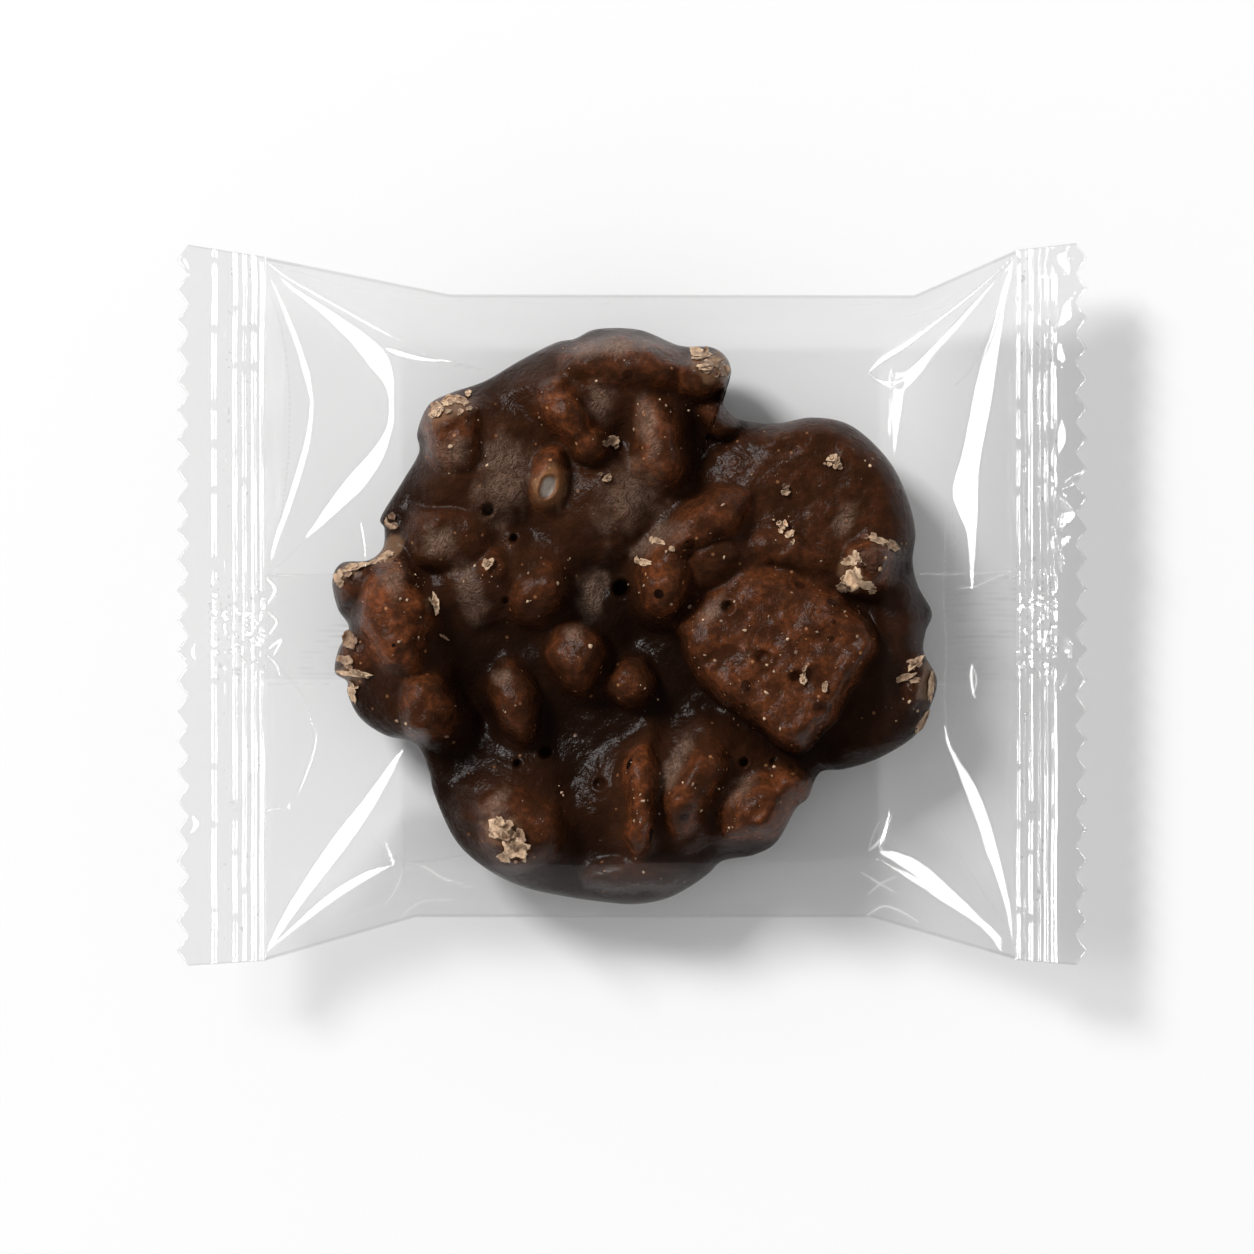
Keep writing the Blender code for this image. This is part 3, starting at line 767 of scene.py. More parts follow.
def inFromOutline(x, y):
    # distance from the outline along the line to the praline's centre
    fromCentreX, fromCentreY = x - praline["centre"][0], y - praline["centre"][1]
    return outlineRadius(np.arctan2(fromCentreY, fromCentreX)) - np.hypot(fromCentreX, fromCentreY)


def plateHeight(x, y):
    # a flat slab with rounded edges: level inside its corners, then falling away, steeply on the lower side
    # and gently on the upper side, where it runs into the nuts beside it
    corners = np.array(praline["plateCorners"])
    softness = praline["plateCornerSoftness"]
    total = 0.0
    for (startX, startY), (endX, endY) in zip(corners, np.roll(corners, -1, axis=0)):
        length = math.hypot(endX - startX, endY - startY)
        inside = ((endY - startY) * (x - startX) - (endX - startX) * (y - startY)) / length
        total = total + np.exp(-inside / softness)
    beyond = softness * np.log(total)
    centreX, centreY = corners.mean(axis=0)
    gentle = praline["plateMerge"] * smoothShare(y - centreY, 0.0, praline["plateMergeReach"])
    reach = np.maximum(1 + (beyond - 0.3 * gentle) / (praline["plateEdge"] + gentle), 0)
    tiltX, tiltY = praline["plateTilt"]
    level = praline["plateTop"] + tiltX * (x - centreX) + tiltY * (y - centreY)
    return level - (praline["plateTop"] - praline["lumpFoot"]) * reach ** 2.6


def pralineSurface(x, y):
    # height of the chocolate at x, y, and what its colours need: how much nut shows through, the distance to
    # the eye and the height before the rim is rounded. Nuts are domes, top - rise * reach ^ flatness, and a
    # soft maximum k * log(sum(exp(height / k))) joins them to the puddle; a quarter circle rounds the rim
    (far, wide), (short, narrow) = praline["warps"]
    warpX = x + far * smoothNoise(x, y, wide, 11) + short * smoothNoise(x, y, narrow, 12)
    warpY = y + far * smoothNoise(x, y, wide, 13) + short * smoothNoise(x, y, narrow, 14)
    puddle = praline["puddleHeight"] + 0.5 * smoothNoise(x, y, 7.0, 15)
    for centreX, centreY, length, width, turn, depth in praline["hollows"]:
        puddle = puddle - depth * np.exp(-1.2 * ovalReach(x, y, centreX, centreY, length, width, turn) ** 2)
    heights, tones = [puddle, plateHeight(warpX, warpY)], [0.0, praline["plateTone"]]
    coat = 0.0
    for centreX, centreY, length, width, turn, top, flatness, tone in praline["lumps"].values():
        reach = ovalReach(warpX, warpY, centreX, centreY, length, width, turn) / praline["lumpGrowth"]
        heights.append(top - (top - praline["lumpFoot"]) * reach ** (flatness + praline["extraFlatness"]))
        tones.append(tone)
        sag = top - praline["coatDrop"] - (top - praline["lumpFoot"]) * (reach / praline["coatSpread"]) ** 2
        coat = coat + np.exp((sag - praline["puddleHeight"]) / praline["coatBlend"])
    for centreX, centreY, length, width, turn, top in praline["swells"].values():
        reach = ovalReach(warpX, warpY, centreX, centreY, length, width, turn)
        sag = top - (top - praline["lumpFoot"]) * (reach / praline["coatSpread"]) ** 2
        coat = coat + np.exp((sag - praline["puddleHeight"]) / praline["coatBlend"])
    heights.append(praline["puddleHeight"] + praline["coatBlend"] * np.log(coat))
    tones.append(praline["coatTone"])
    stack = np.stack(heights)
    highest = stack.max(axis=0)
    weights = np.exp((stack - highest) / praline["blend"])
    height = highest + praline["blend"] * np.log(weights.sum(axis=0))
    weights = weights / weights.sum(axis=0)
    tone = (weights * np.array(tones)[:, None]).sum(axis=0)
    # fine knobs, highest where most nut shows through
    knobs = 0.16 + 0.30 * tone
    height = height + knobs * smoothNoise(x, y, 2.3, 16) + 0.55 * knobs * smoothNoise(x, y, 1.1, 17)
    eyeX, eyeY, eyeLength, eyeWidth, eyeTurn, eyeDepth = praline["eye"]
    eyeReach = ovalReach(x, y, eyeX, eyeY, eyeLength, eyeWidth, eyeTurn) + 0.22 * smoothNoise(x, y, 0.9, 18)
    height = height - eyeDepth * smoothShare(1.25 - eyeReach, 0, 0.6)
    # pits have a low raised ring
    for centreX, centreY, radius, depth in praline["pits"]:
        away = np.hypot(x - centreX, y - centreY) / radius
        ring = 0.16 * np.exp(-((away - 1.35) / 0.3) ** 2)
        height = height - depth * smoothShare(1.15 - away, 0, 0.7) + ring
    height = softMin(height, roofHeight(x, y) - praline["clearOfFilm"], 0.8)
    edge = share(inFromOutline(x, y), 0, praline["rimWidth"])
    rounded = praline["rimHeight"] + (height - praline["rimHeight"]) * np.sqrt(1 - (1 - edge) ** 2)
    return rounded, tone, eyeReach, height


def patchMask(x, y, patches, full, none, raggedness, seed):
    # 1 inside any of the ovals up to the reach full, and 0 beyond the reach none, with an uneven edge
    mask = np.zeros_like(x)
    for centreX, centreY, length, width, turn in patches:
        reach = ovalReach(x, y, centreX, centreY, length, width, turn)
        reach = reach + raggedness * (smoothNoise(x, y, 1.5, seed) + 0.6 * smoothNoise(x, y, 0.7, seed + 1))
        mask = np.maximum(mask, 1 - smoothShare(reach, full, none))
    return mask


def buildPraline(material):
    # a square grid bent into a disc, x = u sqrt(1 - v^2 / 2), then stretched to the outline; the rim curls
    # under it
    side = praline["gridSide"]
    v, u = np.meshgrid(np.linspace(-1, 1, side), np.linspace(-1, 1, side), indexing="ij")
    discX, discY = u * np.sqrt(1 - v * v / 2), v * np.sqrt(1 - u * u / 2)
    reach, angle = np.hypot(discX, discY), np.arctan2(discY, discX)
    mean = praline["meanRadius"]
    distance = reach * (mean + (outlineRadius(angle) - mean) * reach ** 3)
    centreX, centreY = praline["centre"]
    x = (centreX + distance * np.cos(angle)).ravel()
    y = (centreY + distance * np.sin(angle)).ravel()
    height, tone, eyeReach, coatHeight = pralineSurface(x, y)
    points = [np.stack([x, y, height], axis=1)]
    faces = [gridQuads(side, side)]
    rim = gridRim(side, side)
    rimX, rimY = x[rim] - centreX, y[rim] - centreY
    rimReach = np.hypot(rimX, rimY)
    previous = rim
    total = side * side
    # rings of the underside: a quarter oval down to the base, then level to a small ring in the middle
    rimRows, allRows = praline["rimRows"], praline["undersideRows"]
    for step in range(1, allRows + 1):
        turn = step / rimRows
        if turn <= 1:
            inset = praline["baseInset"] * (1 - math.cos(turn * math.pi / 2))
            fall = (praline["rimHeight"] - praline["baseHeight"]) * math.sin(turn * math.pi / 2)
            level = praline["rimHeight"] - fall
            scale = (rimReach - inset) / rimReach
        else:
            shrink = (allRows - step) / (allRows - rimRows)
            scale = (rimReach - praline["baseInset"]) / rimReach * max(shrink, 0.02)
            level = praline["baseHeight"]
        ringX, ringY = centreX + rimX * scale, centreY + rimY * scale
        ringZ = np.maximum(np.full(len(rim), level), floorHeight(ringX, ringY) + 0.2)
        ring = np.arange(total, total + len(rim))
        points.append(np.stack([ringX, ringY, ringZ], axis=1))
        faces.append(wallFaces(previous, ring))
        previous = ring
        total += len(rim)
    points.append(np.array([[centreX, centreY, praline["baseHeight"]]]))
    faces.append(np.stack([previous, np.full(len(rim), total), np.roll(previous, -1)], axis=1))
    piece = makePiece("praline", np.concatenate(points), faces, material)
    below = total + 1 - side * side
    # painted sheen: patches that the material lightens in fine wrinkled lines
    sheenAndWrinkles = patchMask(x, y, praline["sheenPatches"], 0.15, 1.25, 0.28, 21)
    bare = patchMask(x, y, praline["bareTips"], 0.7, 1.15, 0.45, 23)
    eyeRim = (1 - smoothShare(eyeReach, 1.3, 2.3)) * (0.6 + 0.4 * smoothNoise(x, y, 0.6, 27))
    eyeHollow = 1 - smoothShare(eyeReach, 0.6, 1.0)
    # painted shade: the coat is darker where it lies low, between the nuts, and on the underside
    valleyShade = 1 - smoothShare(coatHeight, *praline["valleyShadeHeights"])
    # each with the value that the plain underside gets
    for name, values, underneath in (
            ("nutTone", tone, 0.1), ("sheenAndWrinkles", sheenAndWrinkles, 0.0), ("bareNut", bare, 0.0),
            ("eyeRim", eyeRim, 0.0), ("eyeHollow", eyeHollow, 0.0), ("paintedValleyShade", valleyShade, 0.6)):
        paint(piece, name, np.concatenate([values, np.full(below, underneath)]))
    return piece


def chocolateMaterial():
    # dark coat, brown where a nut shows through in patches, painted shade that makes it nearly black in the
    # low valleys, specks, bare tips, painted sheen in fine wrinkled lines, and the split nut's rim and hollow
    material, tree, surface = newMaterial("chocolateCoat")
    place = addNode(tree, "ShaderNodeTexCoord").outputs["Object"]
    tone, valleyShade, sheenAndWrinkles = (painted(tree, name) for name in ("nutTone", "paintedValleyShade", "sheenAndWrinkles"))
    mottle = noise(tree, place, 420.0, 4.0, 0.65)
    fine = noise(tree, place, 1300.0, 3.0, 0.6)
    grain, paleSpecks = grainAndSpecks(tree, 2400.0, 640.0, 0.13)
    darkSpecks = grainAndSpecks(tree, 1000.0, 300.0, 0.22)[1]
    patches = calculate(tree, "MULTIPLY", ramp(tree, mottle, 0.41, 0.60),
                        calculate(tree, "MULTIPLY_ADD", ramp(tree, fine, 0.40, 0.60), 0.7, 0.3))
    shown = calculate(tree, "MULTIPLY", tone, calculate(tree, "MULTIPLY_ADD", patches, 0.86, 0.14))
    darkShare = calculate(tree, "MULTIPLY", darkSpecks, calculate(tree, "MULTIPLY", tone, 1.1), clamp=True)
    paleShare = calculate(tree, "MULTIPLY", paleSpecks, calculate(tree, "ADD", tone, 0.25, clamp=True))
    # painted sheen: pale fine lines in the patches, which also bump the surface
    waves = noise(tree, place, 800.0, 2.0, 0.5, distortion=2.0)
    ridged = calculate(tree, "ABSOLUTE", calculate(tree, "SUBTRACT", waves, 0.5))
    lines = calculate(tree, "MULTIPLY_ADD", ramp(tree, ridged, 0.09, 0.0), 0.30, 0.26)
    paintedSheen = calculate(tree, "MULTIPLY", sheenAndWrinkles, lines, clamp=True)
    colour = praline["colourDark"]
    # the low valleys get a painted shade and the wrinkled patches a painted sheen
    for factor, name in (
            (shown, "colourNut"),
            (darkShare, "colourDarkSpeckAndShade"),
            (calculate(tree, "MULTIPLY", valleyShade, 0.85), "colourDarkSpeckAndShade"),
            (paleShare, "colourSpeck"),
            (calculate(tree, "MULTIPLY", painted(tree, "bareNut"), 0.38), "colourBare"),
            (calculate(tree, "MULTIPLY", painted(tree, "eyeRim"), 0.75), "colourEyeRim"),
            (paintedSheen, "colourPaintedSheen"),
            (painted(tree, "eyeHollow"), "colourEyeHollow")):
        colour = mixColour(tree, factor, colour, praline[name])
    tree.links.new(colour, surface.inputs["Base Color"])
    lineHeight = calculate(tree, "MULTIPLY", ridged, calculate(tree, "MULTIPLY", sheenAndWrinkles, 1.4))
    grainHeight = calculate(tree, "MULTIPLY", grain, calculate(tree, "MULTIPLY_ADD", valleyShade, -0.16, 0.18))
    broad = calculate(tree, "MULTIPLY_ADD", fine, 0.35, calculate(tree, "MULTIPLY", mottle, 0.5))
    height = calculate(tree, "ADD", calculate(tree, "ADD", lineHeight, grainHeight), broad)
    bump = addNode(tree, "ShaderNodeBump", {"Height": height, "Distance": 0.0005, "Strength": 0.9})
    tree.links.new(bump.outputs["Normal"], surface.inputs["Normal"])
    rough = calculate(tree, "MULTIPLY_ADD", mottle, 0.2, 0.15)
    tree.links.new(rough, surface.inputs["Roughness"])
    surface.inputs["Specular IOR Level"].default_value = 0.12
    return material


cluster = buildPraline(chocolateMaterial())
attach(cluster, "root")
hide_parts("packet")


# loose bits that stick to the coat

flakes = {
    "thickness": 0.12,
    "rings": 4,
    "sides": 20,
    # every shard has this many smaller bits beside it
    "bits": 3,
    "colourDark": (0.085, 0.030, 0.013),
    "colourPale": (0.78, 0.55, 0.36),
    # pale shards of bare nut: X, Y, length, width, turn, lift, curl, paleness
    "shards": {
        "cornerUpper": (-20.9, 23.6, 3.0, 1.2, 12, 0.25, 0.50, 0.75),
        "cornerMiddle": (-19.6, 23.5, 2.1, 1.0, -25, 0.20, 0.40, 0.60),
        "cornerLower": (-22.6, 22.1, 2.3, 1.0, 35, 0.20, 0.50, 0.90),
        "cornerEdge": (-22.6, 22.8, 1.4, 1.8, 80, 0.15, 0.40, 0.50),
        "cornerBit": (-18.9, 24.4, 1.0, 0.8, 20, 0.30, 0.30, 0.90),
        "ridgeTop": (7.8, 29.1, 3.0, 1.3, -18, 0.30, 0.60, 0.75),
        "ridgeMiddle": (9.2, 28.0, 2.8, 1.2, 10, 0.25, 0.50, 0.55),
        "ridgeEnd": (10.7, 26.9, 1.5, 1.6, 70, 0.10, 0.50, 0.40),
        "ridgeUnder": (8.3, 27.3, 2.1, 0.8, -10, 0.20, 0.40, 0.90),
        "nutEndLower": (25.5, 3.0, 3.2, 2.2, 70, 0.25, 0.60, 1.00),
        "nutEndLeft": (25.2, 5.0, 1.5, 2.3, 85, 0.20, 0.50, 0.95),
        "nutEndBase": (27.0, 2.2, 2.5, 1.1, -12, 0.20, 0.40, 0.90),
        "nutEndTop": (28.4, 7.4, 2.6, 1.0, -15, 0.20, 0.50, 0.65),
        "nutEndRight": (30.2, 6.6, 0.9, 1.6, 75, 0.15, 0.40, 0.70),
        "nutEndFace": (27.3, 5.2, 3.4, 2.8, 30, 0.10, 0.20, 0.00),
        "moundUpper": (-15.2, -25.9, 3.5, 2.3, -38, 0.45, 0.90, 0.95),
        "moundLower": (-13.3, -28.1, 3.9, 2.5, -28, 0.50, 0.90, 0.90),
        "moundInner": (-14.5, -26.9, 2.1, 1.2, -60, 0.70, 0.80, 0.70),
        "fingerUpper": (3.0, 7.3, 2.1, 0.7, -20, 0.20, 0.30, 0.80),
        "fingerLower": (1.3, 4.9, 2.3, 0.8, -8, 0.20, 0.40, 0.90),
        "fingerBit": (4.6, 6.4, 1.0, 0.6, -35, 0.20, 0.20, 0.70),
        "leftTop": (-31.8, 4.4, 3.5, 1.0, 14, 0.30, 0.60, 0.70),
        "leftEdge": (-33.9, 3.2, 1.8, 1.4, 65, 0.10, 0.50, 0.55),
        "leftUpper": (-28.5, 5.6, 2.8, 0.9, 28, 0.20, 0.50, 0.65),
        "layerTop": (-32.7, -4.1, 2.5, 1.8, -60, 0.30, 0.80, 0.35),
        "layerLower": (-32.0, -8.0, 4.6, 0.9, -8, 0.10, 0.50, 0.85),
        "layerMiddle": (-33.1, -6.4, 2.1, 1.4, -20, 0.10, 0.50, 0.45),
        "lobeEdge": (-32.3, -10.2, 1.0, 3.0, 15, 0.10, 0.40, 0.75),
        "shellTop": (32.7, -6.7, 3.2, 0.8, 40, 0.25, 0.50, 0.70),
        "shellSide": (34.5, -9.5, 0.9, 3.9, -6, 0.15, 0.50, 0.75),
        "shellLower": (33.5, -13.6, 0.9, 3.7, -28, 0.10, 0.40, 0.50),
        "shellInner": (31.5, -8.4, 2.8, 0.9, 25, 0.20, 0.40, 0.55),
        "paleStrip": (-22.6, 0.1, 0.9, 2.9, 10, 0.25, 0.30, 1.00),
        "squiggleUpper": (17.2, 9.1, 1.5, 0.7, -50, 0.25, 0.30, 1.00),
        "squiggleLower": (18.2, 8.1, 1.5, 0.8, 30, 0.25, 0.30, 1.00),
        "discCluster": (23.1, 16.9, 1.6, 0.9, 30, 0.20, 0.30, 0.75),
        "discClusterLow": (23.8, 16.0, 1.4, 0.8, -30, 0.20, 0.30, 0.70),
        "plateFlake": (19.7, -8.6, 0.9, 1.6, 20, 0.20, 0.30, 0.85),
        "plateFleck": (22.2, -9.5, 0.8, 1.5, -10, 0.20, 0.30, 0.95),
        "discSquare": (17.7, 12.9, 1.2, 0.9, 10, 0.25, 0.20, 0.40),
        "starBit": (-2.9, 14.5, 1.2, 0.9, 20, 0.30, 0.30, 0.55),
        "orangeNub": (-2.1, 18.9, 1.7, 1.3, 10, 0.40, 0.30, 0.50),
        "middleNub": (-16.6, 4.7, 1.6, 1.4, 40, 0.40, 0.40, 0.60),
        "leftNotch": (-27.9, 9.3, 2.1, 1.2, -50, 0.10, 0.40, 0.40),
    },
}

crumbs = {
    "scattered": 190,
    # smallest size and how much larger the largest is
    "size": 0.05,
    "sizeRange": 0.18,
    # X, Y, spread, number
    "clusters": (
        (-17.8, 3.5, 1.6, 5), (-15.2, 3.4, 1.2, 3), (-26.5, 3.2, 3.0, 10), (-24.5, 3.1, 0.9, 5),
        (-10.0, 5.1, 0.7, 2), (-7.4, 5.0, 0.7, 2), (6.7, 23.0, 1.2, 4), (4.2, 22.2, 1.0, 4),
        (-8.3, 30.2, 3.0, 8), (-3.7, 30.7, 3.5, 8), (-20.4, 20.8, 3.0, 7), (18.2, 9.7, 0.7, 2),
        (23.3, 16.6, 1.0, 7), (19.4, -4.1, 6.3, 15), (15.9, -9.9, 4.0, 8), (24.6, -0.6, 3.5, 8),
        (7.8, -0.6, 3.5, 8), (0.9, 2.2, 1.8, 4), (-27.3, -4.1, 2.5, 6), (0.9, -22.6, 3.5, 14),
        (7.8, -21.4, 3.5, 14), (12.5, -24.9, 2.9, 10), (-8.3, -21.4, 0.7, 3), (-15.2, -29.5, 2.9, 7),
        (31.5, -11.0, 2.8, 10), (0.9, -32.9, 2.3, 6), (-25.6, -13.3, 1.6, 5), (28.6, 5.1, 2.3, 8),
        (0.9, -11.0, 1.6, 5), (0.9, -8.7, 1.2, 3), (-17.5, 16.1, 1.4, 4),
    ),
}


def flakeShape(shard, seed):
    # a disc of rings and sides stretched to length and width with a ragged edge, bent by curl and laid on the
    # coat; its underside is the same sheet lower down, so the shard is closed
    x, y, length, width, turn, lift, curl, paleness = shard
    rings, sides = flakes["rings"], flakes["sides"]
    reach, around = np.meshgrid(
        np.arange(1, rings + 1) / rings, np.arange(sides) * 2 * math.pi / sides, indexing="ij")
    draw = np.random.default_rng(seed)
    waves = sum(draw.uniform(0.05, 0.16) * np.cos(k * around + draw.uniform(0, 6.3)) for k in (2, 3, 5, 8))
    edge = 1 + waves * reach
    forward = np.append((length / 2 * reach * edge * np.cos(around)).ravel(), 0)
    sideways = np.append((width / 2 * reach * edge * np.sin(around)).ravel(), 0)
    angle = math.radians(turn)
    placeX = x + forward * math.cos(angle) - sideways * math.sin(angle)
    placeY = y + forward * math.sin(angle) + sideways * math.cos(angle)
    ground = pralineSurface(placeX, placeY)[0]
    ground = np.maximum(ground, ground[-1] - 0.8)
    outward = np.append(reach.ravel(), 0)
    bend = curl * outward ** 2 * (0.3 + 0.7 * np.cos(np.append(around.ravel(), 0) + draw.uniform(0, 6.3)))
    ripple = 0.12 * smoothNoise(placeX, placeY, 0.6, seed)
    top = ground + lift * (0.4 + 0.6 * outward) + 0.5 * bend + ripple
    top = np.minimum(top, roofHeight(placeX, placeY) - 0.25)
    bottom = top - flakes["thickness"]
    points = np.concatenate([pointRows(placeX, placeY, top), pointRows(placeX, placeY, bottom)])
    number = np.arange(rings * sides).reshape(rings, sides)
    following = np.roll(number, -1, axis=1)
    quads = np.stack([number[:-1], number[1:], following[1:], following[:-1]], axis=-1).reshape(-1, 4)
    centre, below = rings * sides, rings * sides + 1
    middle = np.stack([np.full(sides, centre), number[0], following[0]], axis=1)
    wall = wallFaces(number[-1], number[-1] + below)
    tone = paleness * (0.75 + 0.25 * outward)
    return points, (quads, quads[:, ::-1] + below, wall), (middle, middle[:, ::-1] + below), np.tile(tone, 2)


def buildFlakes(material):
    # every listed shard, a little smaller and more curled, and bits of random size and place beside it
    points, quads, triangles, tones, total = [], [], [], [], 0
    draw = np.random.default_rng(55)
    shards = []
    for x, y, length, width, turn, lift, curl, paleness in flakes["shards"].values():
        shards.append((x, y, 0.85 * length, 0.85 * width, turn, lift, 1.3 * curl, paleness))
        for bit in range(flakes["bits"]):
            offX, offY = draw.normal(0, 0.32 * length), draw.normal(0, 0.45 * width)
            size, angle = draw.uniform(0.25, 0.5), math.radians(turn)
            bitX = x + offX * math.cos(angle) - offY * math.sin(angle)
            bitY = y + offX * math.sin(angle) + offY * math.cos(angle)
            bitTurn, bitLift = turn + draw.normal(0, 40), lift + draw.uniform(-0.1, 0.2)
            looks = (bitTurn, bitLift, curl, paleness * draw.uniform(0.5, 1.0))
            if inFromOutline(bitX, bitY) > 0.7:
                shards.append((bitX, bitY, size * length, size * width + 0.2, *looks))
    for number, shard in enumerate(shards):
        where, fours, threes, tone = flakeShape(shard, 100 + number)
        points.append(where)
        tones.append(tone)
        quads.extend(group + total for group in fours)
        triangles.extend(group + total for group in threes)
        total += len(where)
    piece = makePiece("pecanFlakes", np.concatenate(points), quads + triangles, material, shadeSmooth=False)
    paint(piece, "pale", np.concatenate(tones))
    return piece


def pebble():
    # an eight-sided stone with every side split in four: 18 points and 32 faces
    points = [(1, 0, 0), (0, 1, 0), (-1, 0, 0), (0, -1, 0), (0, 0, 1), (0, 0, -1)]
    middles, faces = {}, []

    def middle(a, b):
        key = (min(a, b), max(a, b))
        if key not in middles:
            middles[key] = len(points)
            points.append(tuple((points[a][k] + points[b][k]) / math.sqrt(2) for k in range(3)))
        return middles[key]

    for side in range(4):
        for a, b, c in ((side, (side + 1) % 4, 4), ((side + 1) % 4, side, 5)):
            ab, bc, ca = middle(a, b), middle(b, c), middle(c, a)
            faces += [(a, ab, ca), (b, bc, ab), (c, ca, bc), (ab, bc, ca)]
    return np.array(points), np.array(faces)


def buildCrumbs(material):
    # every crumb is the stone with uneven corners, turned about Z, and sunk a third into the coat
    draw = np.random.default_rng(77)
    places = [np.array([(x, y)]) + draw.normal(0, spread * 0.55, (count, 2))
              for x, y, spread, count in crumbs["clusters"]]
    loose = draw.uniform(-34, 34, (crumbs["scattered"] * 4, 2))
    tone = pralineSurface(loose[:, 0], loose[:, 1])[1]
    places.append(loose[tone > 0.22][:crumbs["scattered"]])
    places = np.concatenate(places)
    places = places[inFromOutline(places[:, 0], places[:, 1]) > 0.8]
    count = len(places)
    size = crumbs["size"] + crumbs["sizeRange"] * draw.random(count) ** 3
    shape, faces = pebble()
    stones = shape[None] * (1 + draw.uniform(-0.3, 0.3, (count, len(shape), 1))) * size[:, None, None]
    stones = stones * draw.uniform(0.6, 1.4, (count, 1, 3)) * np.array([1.0, 1.0, 0.7])
    turn = draw.uniform(0, 2 * math.pi, count)[:, None]
    turnedX = stones[..., 0] * np.cos(turn) - stones[..., 1] * np.sin(turn)
    turnedY = stones[..., 0] * np.sin(turn) + stones[..., 1] * np.cos(turn)
    ground = pralineSurface(places[:, 0], places[:, 1])[0]
    heights = stones[..., 2] + (ground + size * 0.3)[:, None]
    points = pointRows(turnedX + places[:, :1], turnedY + places[:, 1:], heights)
    allFaces = (faces[None] + (np.arange(count) * len(shape))[:, None, None]).reshape(-1, 3)
    piece = makePiece("crumbs", points, [allFaces], material, shadeSmooth=False)
    paint(piece, "pale", np.repeat(draw.uniform(0.15, 1.0, count), len(shape)))
    return piece


def bareNutMaterial():
    # from dark skin to pale kernel, as each bit is painted, in blotches
    material, tree, surface = newMaterial("bareNut")
    place = addNode(tree, "ShaderNodeTexCoord").outputs["Object"]
    blotches = noise(tree, place, 1500.0, 3.0, 0.6)
    blotched = calculate(tree, "ADD", ramp(tree, blotches, 0.3, 0.62), 0.25)
    shown = calculate(tree, "MULTIPLY", painted(tree, "pale"), blotched, clamp=True)
    colour = mixColour(tree, shown, flakes["colourDark"], flakes["colourPale"])
    tree.links.new(colour, surface.inputs["Base Color"])
    bump = addNode(tree, "ShaderNodeBump", {"Height": blotches, "Distance": 0.00015, "Strength": 0.6})
    tree.links.new(bump.outputs["Normal"], surface.inputs["Normal"])
    surface.inputs["Roughness"].default_value = 0.6
    surface.inputs["Specular IOR Level"].default_value = 0.3
    return material


bareNut = bareNutMaterial()
for loose in (buildFlakes(bareNut), buildCrumbs(bareNut)):
    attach(loose, "root")
    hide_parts("packet")


# the film pillow: top sheet and back sheet, closed along both side folds and both seal lines

film = {
    "columnsPerSlope": 118,
    "columnsOnRoof": 40,
    # X between which the columns stand further apart
    "roofColumns": (-21.0, 24.0),
    "rows": 320,
    "rowsPerBackRow": 10,
    # brightness of what the film mirrors, and how much of a clear sheet's mirroring it has
    "mirrorGrey": 0.25,
    "strength": 0.55,
    # how much the film covers even where it mirrors nothing
    "veil": 0.028,
    "sealVeil": 0.042,
    "finVeil": -0.030,
    "edgeVeil": 0.24,
    # how opaque the painted highlight lines make the film
    "highlightCover": 0.85,
    # shares of the light kept from the floor, the distances from the lower and right edge over which they
    # fall away, the X at which the lower one starts, and the distance below the middle at which the right
    # one weakens
    "shadingRight": 0.72,
    "shadingLower": 0.48,
    "leastShading": 0.11,
    "lowerReach": (11.0, 15.0),
    "rightReach": (8.5, 24.0),
    "shadowStart": (-48.5, -44.0),
    "cornerStart": (30.0, 38.0),
    "cornerLoss": 0.4,
    "roughness": 0.06,
    "ior": 1.5,
}


def filmShading(x, y):
    # share of the key light that the film keeps from the floor: most along the lower and right edges
    nearLower = 1 - share(y - along(packet["lowerEdge"], x), *film["lowerReach"])
    nearLower = nearLower * smoothShare(x, *film["shadowStart"])
    nearRight = 1 - share(packet["halfLength"] - x, *film["rightReach"])
    nearRight = nearRight * (1 - film["cornerLoss"] * smoothShare(-y, *film["cornerStart"]))
    most = np.maximum(film["shadingLower"] * nearLower, film["shadingRight"] * nearRight)
    return np.maximum(most, film["leastShading"])


def pillowColumns():
    start, end = film["roofColumns"]
    leftSlope = np.linspace(packet["leftSealEnd"], start, film["columnsPerSlope"] + 1)
    roof = np.linspace(start, end, film["columnsOnRoof"] + 1)
    rightSlope = np.linspace(end, packet["rightSealEnd"], film["columnsPerSlope"] + 1)
    return np.concatenate([leftSlope, roof[1:], rightSlope[1:]])


